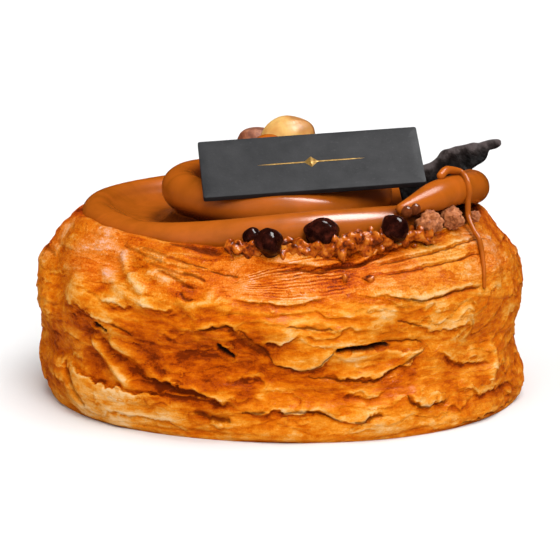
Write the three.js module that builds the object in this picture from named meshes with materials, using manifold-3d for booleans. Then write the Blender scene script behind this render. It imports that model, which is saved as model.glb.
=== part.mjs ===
// Puff pastry: a round of laminated dough with risen, browned, flaky layers. A rope of hazelnut
// chocolate cream is piped on it in a ring that climbs into a mound, and the mound carries two
// hazelnuts, a plain plaque, a shard of dark chocolate and a thin drizzle. Crumble and crisp
// chocolate pearls lie along the rim.
// Millimetres, +Z up, the origin at the centre of the flat base, the front towards -Y.
import * as THREE from "three";
import { mergeVertices } from "three/addons/utils/BufferGeometryUtils.js";
import Module from "manifold-3d";

const wasm = await Module();
wasm.setup();

const { cos, sin, PI } = Math;
const { degToRad, radToDeg, lerp, smoothstep } = THREE.MathUtils;

// Clear space between two pieces that touch on the real pastry, and the finest edge that is kept
const GAP = 0.35;
const SLIVER = 0.08;

// The round of pastry
const WALL_RADIUS = 52;
const FOOT_RADIUS = 52;
const WAIST_DEPTH = 1;
const SHOULDER_HEIGHT = 28.5;
const RIM_RADIUS = 43.4;
const RIM_HEIGHT = 38.2;
const RIM_LIFT = 0.5;
const RIM_NOTCH = 1.7;
const RIM_NOTCH_ANGLE = -92;
const RIM_NOTCH_WIDTH = 27;
const WELL_HEIGHT = 35.2;
const OUTLINE_UNEVENNESS = 0.5;
const FOOT_TUCK = 3;
const FOOT_TUCK_ANGLE = 222;

// The flaky layers of its side
const LAYERS = 10;
const LAYER_LIP = 0.75;
const LAYER_RECESS = 0.6;
const LAYER_SWAY = 0.55;
const LAYER_WAVE = 0.2;
const PASTRY_COLUMNS = 76;

// The piped rope of cream: one turn of ring, then a crossing to the turns of the mound
const ROPE_START_ANGLE = -54.5;
const RING_TURN = 326.5;
const CROSSING_TURN = 230;
const MOUND_TURN = 720;
const RING_START_RADIUS = 41.8;
const RING_END_RADIUS = 38;
const RING_HEIGHT = 40.9;
const RING_RISE = 1.4;
const RING_RISE_ANGLE = 20;
const RING_DIPS = [
  { degrees: -138, depth: 2.6, width: 36 },
  { degrees: 128, depth: 2, width: 50 },
  { degrees: 45, depth: 3, width: 22 },
];
const RING_THICKNESS = 3.8;
const MOUND_RADIUS = 23.5;
const MOUND_PITCH = 9.2;
const MOUND_HEIGHT = 41.6;
const MOUND_CLIMB = 4.4;
const MOUND_TILT = 2.2;
const MOUND_TILT_ANGLE = 150;
const MOUND_THICKNESS = 4.3;
const MOUND_CENTRE = new THREE.Vector2(1.5, -4);
// Near its tip the rope is thinner and lies over the turn inside it; the crossing sinks into a hollow
const TIP_LIFT = 4.2;
const TIP_LIFT_TURN = 21;
const TIP_LIFT_WIDTH = 32;
const TIP_THINNER = 1;
const CROSSING_DIP = 3.4;
const CROSSING_DIP_TURN = 412;
const CROSSING_DIP_WIDTH = 46;
// The cream under the rope is banked up to the ring on the left
const BANK_LIFT = 2.4;
const BANK_ANGLE = 186;
const BANK_WIDTH = 52;
const ROPE_SIDES = 10;
const RING_STEP_TURN = 12;
const MOUND_STEP_TURN = 15;

// The drizzle that runs over the ring and down the pastry
const DRIZZLE_RADIUS = 0.78;
const DRIZZLE_OVER = [
  { degrees: -37.5, lean: 95, clear: 0.7 },
  { degrees: -34.5, lean: 94, clear: 1.6 },
  { degrees: -30, lean: 92, clear: 1.1 },
  { degrees: -28, lean: 84, clear: 0.5 },
  { degrees: -31, lean: 40, clear: 0.3 },
  { degrees: -30.5, lean: 12, clear: 0.3 },
  { degrees: -30, lean: -35, clear: 0.4 },
];
const DRIZZLE_FALL = { fromDegrees: -30, toDegrees: -37, fromAlong: 0.8, toAlong: 0.59 };

// Toppings
const NUT_WIDTH = 10.8;
const NUT_LENGTH = 11.6;
const PEARL_RADIUS = 2.5;
const DROP_RADIUS = 1.15;
const CRUMB_RADIUS = 1.5;
const PLAQUE_WIDTH = 45.6;
const PLAQUE_HEIGHT = 16.1;
const PLAQUE_THICKNESS = 1.2;
const PLAQUE_CORNER = 0.5;
const SHARD_LENGTH = 24;
const SHARD_DEPTH = 6.6;
const SHARD_THICKNESS = 1.3;
const SHARD_BEND = 2.2;

const paint = (color, roughness) => new THREE.MeshStandardMaterial({ color, roughness, metalness: 0 });

// A repeatable number from 0 to 1 for each pair of numbers
function chance(a, b) {
  const x = sin(a * 12.9898 + b * 78.233) * 43758.5453;
  return x - Math.floor(x);
}

// A wavy line round the pastry: whole-number ripples with chance phases, of about unit height
function ripple(angle, seed, slowest, count) {
  let sum = 0;
  for (let k = 0; k < count; k++) sum += cos((slowest + k) * angle + 2 * PI * chance(seed, k));
  return sum / Math.sqrt(count);
}

// A point at a radius, an angle in degrees and a height
function around(radius, degrees, height) {
  const angle = degToRad(degrees);
  return new THREE.Vector3(radius * cos(angle), radius * sin(angle), height);
}

// A closed geometry as a solid that can be joined and cut
function solidOf(geometry, matrix = new THREE.Matrix4()) {
  const bare = new THREE.BufferGeometry().setAttribute("position", geometry.getAttribute("position").clone());
  bare.setIndex(geometry.index);
  const merged = mergeVertices(bare.applyMatrix4(matrix), 1e-3);
  const vertProperties = new Float32Array(merged.attributes.position.array);
  const triVerts = new Uint32Array(merged.index.array);
  return new wasm.Manifold(new wasm.Mesh({ numProp: 3, vertProperties, triVerts }));
}

// The largest body of a solid, without slivers, as a geometry
function geometryOf(solid) {
  const [largest] = solid.decompose().sort((a, b) => b.volume() - a.volume());
  const { vertProperties, triVerts } = largest.simplify(SLIVER).getMesh();
  const geometry = new THREE.BufferGeometry();
  geometry.setAttribute("position", new THREE.BufferAttribute(new Float32Array(vertProperties), 3));
  geometry.setIndex(new THREE.BufferAttribute(new Uint32Array(triVerts), 1));
  geometry.computeVertexNormals();
  return geometry;
}

function named(name, geometry, material) {
  const mesh = new THREE.Mesh(geometry, material);
  mesh.name = name;
  return mesh;
}

// The pastry's side in section, from the flat foot over the wall and shoulder to the inside of the rim
const section = new THREE.SplineCurve(
  [
    [FOOT_RADIUS, 0],
    [WALL_RADIUS + 0.7, 1.6],
    [WALL_RADIUS + 0.8, 6],
    [WALL_RADIUS - WAIST_DEPTH, SHOULDER_HEIGHT / 2],
    [WALL_RADIUS + 0.3, SHOULDER_HEIGHT - 6],
    [WALL_RADIUS - 0.8, SHOULDER_HEIGHT],
    [lerp(RIM_RADIUS, WALL_RADIUS, 0.5), lerp(SHOULDER_HEIGHT, RIM_HEIGHT, 0.52)],
    [RIM_RADIUS + 0.8, RIM_HEIGHT - 0.6],
    [RIM_RADIUS - 0.9, RIM_HEIGHT],
    [RIM_RADIUS - 2.6, WELL_HEIGHT + 1.2],
    [RIM_RADIUS - 5, WELL_HEIGHT],
  ].map(([radius, height]) => new THREE.Vector2(radius, height)),
);

// How far along the section the edge of a layer lies at an angle. All edges sway together, and
// each also waves on its own, less than the space to the next.
function layerEdge(layer, angle) {
  const inside = sin((PI * layer) / LAYERS);
  const wave = LAYER_SWAY * inside * ripple(angle, 5, 2, 4) + LAYER_WAVE * ripple(angle, 20 + layer, 3, 7);
  const share = layer === 0 || layer === LAYERS ? layer / LAYERS : (layer + wave * inside) / LAYERS;
  return 0.035 + 0.88 * share;
}

// The shortest way round from one angle to another, in degrees
const turnFrom = (degrees, to) => THREE.MathUtils.euclideanModulo(degrees - to + 180, 360) - 180;

// How much higher than usual the rim stands at an angle in degrees: it is pressed down at the front
function rimLift(degrees) {
  return RIM_LIFT - RIM_NOTCH * Math.exp(-((turnFrom(degrees, RIM_NOTCH_ANGLE) / RIM_NOTCH_WIDTH) ** 2));
}

// A point of the pastry's surface: its place along the section, and how far it stands proud of it
function surfacePoint(along, angle, proud) {
  const point = section.getPointAt(along);
  const tangent = section.getTangentAt(along);
  const low = 1 - smoothstep(along, 0, 0.22);
  const facing = Math.max(0, cos(angle - degToRad(FOOT_TUCK_ANGLE)));
  const swell = OUTLINE_UNEVENNESS * ripple(angle, 3, 2, 4) - FOOT_TUCK * low * facing * facing;
  const radius = point.x + tangent.y * proud + swell;
  const raised = rimLift(radToDeg(angle)) * smoothstep(along, 0.42, 0.78) * (1 - smoothstep(along, 0.9, 1));
  return new THREE.Vector3(radius * cos(angle), radius * sin(angle), point.y - tangent.x * proud + raised);
}

// The rows of one layer: a recess under its lip, the proud lip, then the sheet that leans back in
const LAYER_ROWS = [
  { step: 0, lip: 0, recess: 1 },
  { step: 0.12, lip: 1, recess: 0 },
  { step: 0.58, lip: 0.3, recess: 0 },
];

// The rows of points up the side at one angle
function sideRow(angle) {
  const row = [surfacePoint(0, angle, 0)];
  for (let layer = 0; layer < LAYERS; layer++) {
    const from = layerEdge(layer, angle);
    const to = layerEdge(layer + 1, angle);
    const strength = 0.65 + 0.45 * ripple(angle, 40 + layer, 2, 6);
    for (const { step, lip, recess } of LAYER_ROWS) {
      const proud = strength * (LAYER_LIP * lip - LAYER_RECESS * recess);
      row.push(surfacePoint(lerp(from, to, step), angle, proud));
    }
  }
  row.push(surfacePoint(0.96, angle, 0), surfacePoint(1, angle, 0));
  return row;
}

// A round solid as a lathe, its rows bent to the points that a function gives for each angle
function bentLathe(rowAt, columns, bottom, top) {
  const rows = rowAt(0).length;
  const side = Array(rows).fill(new THREE.Vector2(1, 0));
  const outline = [new THREE.Vector2(0, 0), ...side, new THREE.Vector2(0, 1)];
  const lathe = new THREE.LatheGeometry(outline, columns).rotateX(PI / 2);
  const position = lathe.getAttribute("position");
  for (let column = 0; column <= columns; column++) {
    const first = column * (rows + 2);
    position.setXYZ(first, 0, 0, bottom);
    rowAt((2 * PI * (column % columns)) / columns).forEach((point, k) => {
      position.setXYZ(first + 1 + k, point.x, point.y, point.z);
    });
    position.setXYZ(first + 1 + rows, 0, 0, top);
  }
  return solidOf(lathe);
}

// The round of pastry, with its wavy layers
const pastryBody = () => bentLathe(sideRow, PASTRY_COLUMNS, 0, WELL_HEIGHT);

// The room that the top of the pastry needs, as a smooth round that holds every lip
function pastryRoom() {
  const clear = LAYER_LIP * 1.4 + GAP;
  const rowAt = (angle) => [0.5, 0.6, 0.68, 0.75, 0.81, 0.87, 0.93, 1].map((along) =>
    surfacePoint(along, angle, along > 0.92 ? GAP : clear),
  );
  return bentLathe(rowAt, PASTRY_COLUMNS / 2, SHOULDER_HEIGHT / 2, WELL_HEIGHT + GAP);
}

// Centre and thickness of the piped rope after so many degrees of turn
function ropeAt(turned) {
  const degrees = ROPE_START_ANGLE + turned;
  const inward = smoothstep(turned, RING_TURN, RING_TURN + CROSSING_TURN);
  const climbed = (turned - RING_TURN - CROSSING_TURN) / 360;
  const ringRadius = lerp(RING_START_RADIUS, RING_END_RADIUS, turned / RING_TURN);
  const moundRadius = MOUND_RADIUS - MOUND_PITCH * Math.max(0, climbed);
  const toRise = cos(degToRad(degrees - RING_RISE_ANGLE));
  const tilt = MOUND_TILT * cos(degToRad(degrees - MOUND_TILT_ANGLE)) * (moundRadius / MOUND_RADIUS);
  const dip = RING_DIPS.reduce((sum, { degrees: at, depth, width }) => {
    return sum + depth * Math.exp(-((turnFrom(degrees, at) / width) ** 2));
  }, 0);
  const ringHeight = RING_HEIGHT + RING_RISE * toRise - dip;
  const nearTip = Math.exp(-(((turned - TIP_LIFT_TURN) / TIP_LIFT_WIDTH) ** 2));
  const sunk = Math.exp(-(((turned - CROSSING_DIP_TURN) / CROSSING_DIP_WIDTH) ** 2));
  const evenHeight = lerp(ringHeight, MOUND_HEIGHT + MOUND_CLIMB * climbed + tilt, inward);
  const height = evenHeight + TIP_LIFT * nearTip - CROSSING_DIP * sunk;
  const tip = lerp(0.2, 1, smoothstep(turned, -8, 16));
  const ringThickness = RING_THICKNESS + 0.45 * toRise - TIP_THINNER * Math.sqrt(nearTip);
  const thickness = tip * lerp(ringThickness, MOUND_THICKNESS, inward);
  const point = around(lerp(ringRadius, moundRadius, inward), degrees, height);
  point.x += MOUND_CENTRE.x * inward;
  point.y += MOUND_CENTRE.y * inward;
  return { point, thickness };
}

// One stretch of the rope, as a solid
function ropeStretch(from, to, stepTurn) {
  const steps = Math.round((to - from) / stepTurn);
  return solidOf(bentRod((share) => ropeAt(lerp(from, to, share)), ROPE_SIDES, steps));
}

// A capped cylinder bent to follow a line: the line gives a point and a thickness for a share from 0 to 1
function bentRod(line, sides, steps) {
  const rod = new THREE.CylinderGeometry(1, 1, 1, sides, steps);
  const position = rod.getAttribute("position");
  const corner = new THREE.Vector3();
  const up = new THREE.Vector3(0, 0, 1);
  for (let i = 0; i < position.count; i++) {
    corner.fromBufferAttribute(position, i);
    const share = corner.y + 0.5;
    const { point, thickness } = line(share);
    const behind = line(Math.max(0, share - 1e-3)).point;
    const ahead = line(Math.min(1, share + 1e-3)).point.sub(behind).normalize();
    const across = new THREE.Vector3().crossVectors(ahead, up).normalize();
    const rise = new THREE.Vector3().crossVectors(across, ahead);
    point.addScaledVector(across, thickness * corner.x).addScaledVector(rise, thickness * corner.z);
    position.setXYZ(i, point.x, point.y, point.z);
  }
  return rod;
}

// The low dome of cream that the rope is piped on, with a bank up to the ring
function creamCore() {
  const low = WELL_HEIGHT + 1.5 * GAP;
  const rowAt = (angle) => {
    const degrees = radToDeg(angle);
    const bank = BANK_LIFT * Math.exp(-((turnFrom(degrees, BANK_ANGLE) / BANK_WIDTH) ** 2));
    return [
      around(RING_END_RADIUS, degrees, low),
      around(RING_END_RADIUS, degrees, RING_HEIGHT - 2 + bank),
      around(RING_END_RADIUS - 5, degrees, WELL_HEIGHT + 1.8 + bank / 2),
      around(MOUND_RADIUS + 2, degrees, WELL_HEIGHT + 1.6),
      around(MOUND_RADIUS - 6, degrees, MOUND_HEIGHT + 2),
      around(MOUND_RADIUS - 13, degrees, MOUND_HEIGHT + 6.6),
    ];
  };
  return bentLathe(rowAt, 24, low, MOUND_HEIGHT + 8);
}

// The drizzle: a loop over the ring near its tip, then down beside the pastry's shoulder
function drizzleLine() {
  const over = DRIZZLE_OVER.map(({ degrees, lean, clear }) => {
    const { point, thickness } = ropeAt(degrees - ROPE_START_ANGLE);
    const reach = thickness + clear;
    const radius = Math.hypot(point.x, point.y) + reach * cos(degToRad(lean));
    return around(radius, degrees, point.z + reach * sin(degToRad(lean)));
  });
  const stand = LAYER_LIP * 1.5 + DRIZZLE_RADIUS + GAP;
  const { fromDegrees, toDegrees, fromAlong, toAlong } = DRIZZLE_FALL;
  const down = [0, 0.33, 0.67, 1].map((share) => {
    const degrees = lerp(fromDegrees, toDegrees, share);
    return surfacePoint(lerp(fromAlong, toAlong, share), degToRad(degrees), stand);
  });
  const curve = new THREE.CatmullRomCurve3([...over, ...down]);
  return (share) => ({ point: curve.getPoint(share), thickness: DRIZZLE_RADIUS * lerp(1.3, 0.55, share) });
}

// A hazelnut kernel: round below, drawn to a blunt point above
function nutGeometry(clear = 0, columns = 16, rows = 12) {
  const outline = [];
  for (let k = 0; k <= rows; k++) {
    const turn = (PI * k) / rows;
    const point = 0.9 * Math.pow(Math.max(0, -cos(turn)), 6);
    const radius = (NUT_WIDTH / 2 + clear) * sin(turn);
    const height = -(NUT_LENGTH / 2 + clear) * cos(turn) + point;
    outline.push(new THREE.Vector2(k === 0 || k === rows ? 0 : radius, height));
  }
  return new THREE.LatheGeometry(outline, columns).rotateX(PI / 2);
}

// A crisp pearl, a little uneven, and drawn out along the rim where it is wide
function pearlGeometry(seed, { size, wide = 1 }, clear = 0, detail = 2) {
  const pearl = new THREE.IcosahedronGeometry(1, detail);
  const position = pearl.getAttribute("position");
  const corner = new THREE.Vector3();
  for (let i = 0; i < position.count; i++) {
    corner.fromBufferAttribute(position, i);
    const lump = 1 + 0.05 * sin(3 * corner.x + seed) + 0.04 * cos(4 * corner.y - seed);
    corner.multiplyScalar(PEARL_RADIUS * size * lump + clear);
    position.setXYZ(i, wide * corner.x, corner.y, corner.z);
  }
  return pearl;
}

// A plaque with rounded corners, centred on its own middle
function plaqueGeometry(clear = 0) {
  const w = PLAQUE_WIDTH / 2 + clear;
  const h = PLAQUE_HEIGHT / 2 + clear;
  const r = PLAQUE_CORNER;
  const face = new THREE.Shape();
  face.absarc(w - r, h - r, r, 0, PI / 2);
  face.absarc(-w + r, h - r, r, PI / 2, PI);
  face.absarc(-w + r, -h + r, r, PI, 1.5 * PI);
  face.absarc(w - r, -h + r, r, 1.5 * PI, 2 * PI);
  const depth = PLAQUE_THICKNESS + 2 * clear;
  const plaque = new THREE.ExtrudeGeometry(face, { depth, bevelEnabled: false, curveSegments: 3 });
  return plaque.translate(0, 0, -depth / 2);
}

// A broken, bowed shard: a thin block with its edges drawn to a wide foot and a narrow, rounded tip
function shardGeometry(clear = 0, columns = 14, rows = 5) {
  const shard = new THREE.BoxGeometry(1, 1, 1, columns, rows, 1);
  const position = shard.getAttribute("position");
  for (let i = 0; i < position.count; i++) {
    const share = position.getX(i) + 0.5;
    const crest = lerp(-0.6, 1.6, smoothstep(share, 0.29, 0.5)) - 0.4 * smoothstep(share, 0.74, 0.82);
    const notch = 1.7 * (1 - smoothstep(share, 0.82, 0.885));
    const sunk = -0.95 - notch - SHARD_DEPTH * Math.tanh(1.5 * Math.max(0, 0.83 - share));
    const round = Math.sqrt(1 - 0.96 * Math.max(0, (share - 0.93) / 0.07) ** 2);
    const top = 0.1 + (crest - 0.1) * round + clear;
    const foot = 0.1 + (sunk - 0.1) * round - clear;
    const along = (share - 0.5) * (SHARD_LENGTH + 2 * clear);
    const up = lerp(foot, top, position.getY(i) + 0.5);
    const bow = SHARD_BEND * (1 - 4 * (share - 0.5) ** 2) + 0.05 * up * up;
    position.setXYZ(i, along, up, position.getZ(i) * (SHARD_THICKNESS + 2 * clear) + bow);
  }
  return shard;
}

// A crumb of caramelised nut: a small uneven lump
function crumb(seed, centre, size) {
  const lump = new THREE.IcosahedronGeometry(1, 0);
  const position = lump.getAttribute("position");
  const corner = new THREE.Vector3();
  for (let i = 0; i < position.count; i++) {
    corner.fromBufferAttribute(position, i);
    const uneven = 0.8 + 0.4 * chance(seed, Math.round(7 * corner.x + 11 * corner.y + 13 * corner.z));
    corner.multiplyScalar(size * uneven).add(centre);
    position.setXYZ(i, corner.x, corner.y, corner.z);
  }
  return solidOf(lump);
}

// Pearls: angle, how far out from the top of the rim and how high above it, and relative size
const PEARLS = [
  { name: "pearl_front_left", degrees: -97.4, out: -1.1, up: 1.4, size: 0.78 },
  { name: "pearl_front", degrees: -92.65, out: 2.3, up: 0.95, size: 1.1 },
  { name: "pearl_front_centre", degrees: -78.9, out: 0.2, up: 2.6, size: 1.12, wide: 1.34 },
  { name: "pearl_front_right", degrees: -59.2, out: 1.4, up: 2.5, size: 1.13 },
  { name: "pearl_back_left", degrees: 112, out: 0.4, up: 1.2, size: 0.85 },
  { name: "pearl_back", degrees: 84, out: 0.8, up: 1.2, size: 0.9 },
];
const pearlPlace = ({ degrees, out, up }) => around(RIM_RADIUS + out, degrees, RIM_HEIGHT + up);

// Crumble lies in beds along the rim, with loose crumbs clear of the pearls and a few larger lumps
const BEDS = [
  { from: -104, to: -90.5, size: 1.3 },
  { from: -88.5, to: -60.5, size: 1.8 },
  { from: -57, to: -24, size: 1.1 },
  { from: 72, to: 116, size: 1.4 },
];
const CRUMBS_PER_BED = 4;
const LUMPS = [
  { degrees: -47, size: 2.4 },
  { degrees: -37.5, size: 2.25 },
  { degrees: -28, size: 1.3 },
  { degrees: 101, size: 2.2 },
];
function bedLine({ from, to, size }, seed, clear) {
  return (share) => {
    const degrees = lerp(from, to, share);
    const swell = 1 + 0.2 * ripple(degToRad(degrees), seed, 24, 6);
    const thickness = size * swell * Math.sqrt(sin(PI * lerp(0.03, 0.97, share))) + clear;
    const point = around(RIM_RADIUS + 1.5, degrees, RIM_HEIGHT + rimLift(degrees) + 0.3 * size);
    return { point, thickness };
  };
}
function crumble(clear = 0) {
  const lumps = LUMPS.map(({ degrees, size }, k) => {
    const centre = around(RIM_RADIUS + 0.8, degrees, RIM_HEIGHT + rimLift(degrees) + 1.05 * size);
    return crumb(300 + k, centre, size + clear);
  });
  BEDS.forEach((bed, stretch) => {
    const steps = Math.round((bed.to - bed.from) / 2.5);
    lumps.push(solidOf(bentRod(bedLine(bed, 60 + stretch, clear), 6, steps)));
    for (let k = 0; k < CRUMBS_PER_BED; k++) {
      const seed = 100 * stretch + k;
      const size = CRUMB_RADIUS * (0.5 + 0.4 * chance(seed, 1));
      const degrees = lerp(bed.from, bed.to, (k + 0.3 + 0.4 * chance(seed, 2)) / CRUMBS_PER_BED);
      const out = lerp(0.8, 2.4, chance(seed, 3));
      const up = rimLift(degrees) + 0.3 * bed.size + 0.6 * chance(seed, 4);
      const centre = around(RIM_RADIUS + out, degrees, RIM_HEIGHT + up);
      const free = PEARLS.every((pearl) => {
        const reach = PEARL_RADIUS * pearl.size * (pearl.wide ?? 1) + size * 1.2 + GAP;
        return pearlPlace(pearl).distanceTo(centre) > reach;
      });
      if (free) lumps.push(crumb(seed, centre, size + clear));
    }
  });
  return wasm.Manifold.union(lumps);
}

// Toppings, each placed in the part's frame
const pearlPaint = paint("#2e1510", 0.25);
const pearls = PEARLS.map((pearl, k) => {
  const mesh = named(pearl.name, pearlGeometry(k, pearl), pearlPaint);
  mesh.position.copy(pearlPlace(pearl));
  mesh.rotation.z = degToRad(pearl.degrees + 90);
  return mesh;
});

const nut = named("hazelnut_peeled", nutGeometry(), paint("#eeb45c", 0.45));
nut.position.set(1.3, 4, 52.9);
nut.rotation.set(degToRad(-12), degToRad(62), 0);

const skinnedNut = named("hazelnut_skinned", nutGeometry(), paint("#8a4a2c", 0.6));
skinnedNut.position.set(-4, 14.6, 49);
skinnedNut.rotation.set(degToRad(20), degToRad(-40), 0);

const plaque = named("plaque", plaqueGeometry(), paint("#4d4f54", 0.5));
plaque.position.set(6.4, -20.2, 51.3);
plaque.rotation.set(degToRad(38), 0, degToRad(5.7));

const shard = named("chocolate_shard", shardGeometry(), paint("#2f2624", 0.6));
shard.position.set(36.35, 6.95, 49.25);
shard.rotation.set(degToRad(80), 0, degToRad(14));

// The room that each topping needs, as a plainer solid a little larger than the topping
function roomFor(mesh, geometry) {
  mesh.updateMatrix();
  return solidOf(geometry, mesh.matrix);
}
const pearlRoom = wasm.Manifold.union(
  pearls.map((mesh, k) => roomFor(mesh, pearlGeometry(k, PEARLS[k], GAP + 0.15, 1))),
);
const toppingRoom = wasm.Manifold.union([
  pearlRoom,
  roomFor(nut, nutGeometry(GAP + 0.45, 8, 7)),
  roomFor(skinnedNut, nutGeometry(GAP + 0.45, 8, 7)),
  roomFor(plaque, plaqueGeometry(GAP)),
  roomFor(shard, shardGeometry(GAP + 0.15, 6, 2)),
]);

// The pastry, with the crumble fused to its rim
function pastry() {
  const solid = pastryBody().add(crumble()).subtract(pearlRoom);
  return named("pastry", geometryOf(solid), paint("#d8893a", 0.6));
}

// The cream: the core, the rope, two drops that sit on the rope's tip and the drizzle
function cream() {
  const drops = [1, 5.5].map((turned) => {
    const { point, thickness } = ropeAt(turned);
    const drop = new THREE.IcosahedronGeometry(DROP_RADIUS, 1);
    const out = new THREE.Vector3(point.x, point.y, 0).setLength(thickness);
    return solidOf(drop.translate(point.x + out.x, point.y + out.y, point.z - 0.6));
  });
  const solid = creamCore()
    .add(ropeStretch(0, RING_TURN + 1, RING_STEP_TURN))
    .add(ropeStretch(RING_TURN - 1, RING_TURN + CROSSING_TURN + MOUND_TURN, MOUND_STEP_TURN))
    .add(wasm.Manifold.union(drops))
    .add(solidOf(bentRod(drizzleLine(), 6, 20)))
    .subtract(pastryRoom())
    .subtract(crumble(GAP))
    .subtract(toppingRoom);
  return named("hazelnut_cream", geometryOf(solid), paint("#a5622c", 0.28));
}

const part = new THREE.Group();
part.add(pastry(), cream(), nut, skinnedNut, plaque, shard, ...pearls);

export default part;
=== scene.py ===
# %% [markdown]
# # A puff pastry with piped hazelnut cream
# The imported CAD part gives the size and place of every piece. This lesson puts the baker's finish on
# it: browned flaky layers, glossy cream, caramel crumble, crisp pearls, nuts, a plaque and a shard of
# chocolate. Lengths are worked out in millimetres and turned into metres when a mesh is made.

import bpy
import numpy as np
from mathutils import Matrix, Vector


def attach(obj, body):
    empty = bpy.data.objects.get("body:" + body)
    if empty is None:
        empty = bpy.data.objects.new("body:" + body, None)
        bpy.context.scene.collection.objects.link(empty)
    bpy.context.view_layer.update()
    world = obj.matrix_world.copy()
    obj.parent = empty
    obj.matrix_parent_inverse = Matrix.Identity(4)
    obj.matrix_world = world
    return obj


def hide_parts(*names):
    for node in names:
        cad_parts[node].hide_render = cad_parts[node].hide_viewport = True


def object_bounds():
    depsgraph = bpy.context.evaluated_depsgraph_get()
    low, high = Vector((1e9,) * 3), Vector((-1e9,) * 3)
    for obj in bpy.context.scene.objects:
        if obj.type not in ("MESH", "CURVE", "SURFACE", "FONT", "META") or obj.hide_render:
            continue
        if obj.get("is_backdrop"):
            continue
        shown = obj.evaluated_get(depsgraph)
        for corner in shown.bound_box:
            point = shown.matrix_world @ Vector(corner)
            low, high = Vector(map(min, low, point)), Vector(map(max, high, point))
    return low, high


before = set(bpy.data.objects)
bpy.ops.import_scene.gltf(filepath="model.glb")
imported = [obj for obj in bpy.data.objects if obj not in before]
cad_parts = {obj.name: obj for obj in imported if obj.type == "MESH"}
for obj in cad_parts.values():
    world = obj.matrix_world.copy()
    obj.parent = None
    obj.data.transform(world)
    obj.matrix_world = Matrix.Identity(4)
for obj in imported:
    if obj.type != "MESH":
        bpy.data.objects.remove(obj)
cad_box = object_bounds()
MM = 0.001
print("CAD nodes:", ", ".join(sorted(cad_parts)))

# %% [markdown]
# ## Camera
# The picture was taken from a little above the rim with a long lens, so the round base is a shallow
# curve. The camera comes first because marks read off the picture are placed through it later on.

# %% Place the camera
# Millimetres on the part, and pixels in the picture
CAMERA_PLACE = np.array([0.0, -500.0, 116.0])
CAMERA_DOWN = np.radians(10.51)
FOCAL_PIXELS = 2352
PICTURE_PIXELS = 560
SENSOR_WIDTH = 36
RIGHT = np.array([1.0, 0, 0])
AHEAD = np.array([0, np.cos(CAMERA_DOWN), -np.sin(CAMERA_DOWN)])
UP = np.array([0, np.sin(CAMERA_DOWN), np.cos(CAMERA_DOWN)])

camera_data = bpy.data.cameras.new("camera")
camera_data.sensor_width = SENSOR_WIDTH
camera_data.lens = SENSOR_WIDTH * FOCAL_PIXELS / PICTURE_PIXELS
camera = bpy.data.objects.new("camera", camera_data)
camera.location = CAMERA_PLACE * MM
camera.rotation_euler = (np.pi / 2 - CAMERA_DOWN, 0, 0)
bpy.context.collection.objects.link(camera)
bpy.context.scene.camera = camera
print("lens", round(camera_data.lens, 1), "mm")

# %% [markdown]
# ## Light and floor
# Food is shown in soft light, and wide suns give it evenly over the whole floor, where a lamp close by
# would leave the far floor grey. Three suns and a faint sky give colour and shade alone. A fourth gives
# only the highlights, so their place on the cream can be chosen. Floor and sky are kept out of
# reflections, because a white room mirrored in the cream would lay a veil over its brown.

# %% Lights, sky and floor
def add_sun(name, strength, spread, elevation, azimuth):
    """A sun of a wide disc, seen at a height and a bearing in degrees; bearing 0 is the front."""
    data = bpy.data.lights.new(name, "SUN")
    data.energy = strength
    data.angle = np.radians(spread)
    sun = bpy.data.objects.new(name, data)
    sun.rotation_euler = (np.radians(90 - elevation), 0, np.radians(azimuth))
    bpy.context.collection.objects.link(sun)
    return sun


add_sun("light_key", strength=2.3, spread=50, elevation=76, azimuth=50).visible_glossy = False
add_sun("light_front", strength=2.6, spread=30, elevation=37, azimuth=14).visible_glossy = False
add_sun("light_fill", strength=0.9, spread=60, elevation=28, azimuth=-46).visible_glossy = False
add_sun("light_sheen", strength=7.0, spread=38, elevation=64, azimuth=86).visible_diffuse = False

SKY_COLOUR, SKY_STRENGTH = (1, 0.99, 0.97, 1), 0.3
world = bpy.data.worlds.new("sky")
world.use_nodes = True
world.node_tree.nodes["Background"].inputs["Color"].default_value = SKY_COLOUR
world.node_tree.nodes["Background"].inputs["Strength"].default_value = SKY_STRENGTH
world.cycles_visibility.glossy = False
bpy.context.scene.world = world
bpy.context.scene.view_settings.view_transform = "Standard"

FLOOR_HALF = 4.0
floor_mesh = bpy.data.meshes.new("floor")
corners = np.array([[-1, -1, 0], [1, -1, 0], [1, 1, 0], [-1, 1, 0]]) * FLOOR_HALF
floor_mesh.from_pydata(corners.tolist(), [], [[0, 1, 2, 3]])
floor = bpy.data.objects.new("floor", floor_mesh)
bpy.context.collection.objects.link(floor)
floor.visible_glossy = False
floor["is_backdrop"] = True
print("floor", 2 * FLOOR_HALF, "m wide")

# %% [markdown]
# ## A short way to write materials
# Every finish here is a Principled shader with noise, ramps and bump in front of it. A small class
# keeps the node tree readable: each call adds one node and returns the socket that the next one uses.

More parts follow.
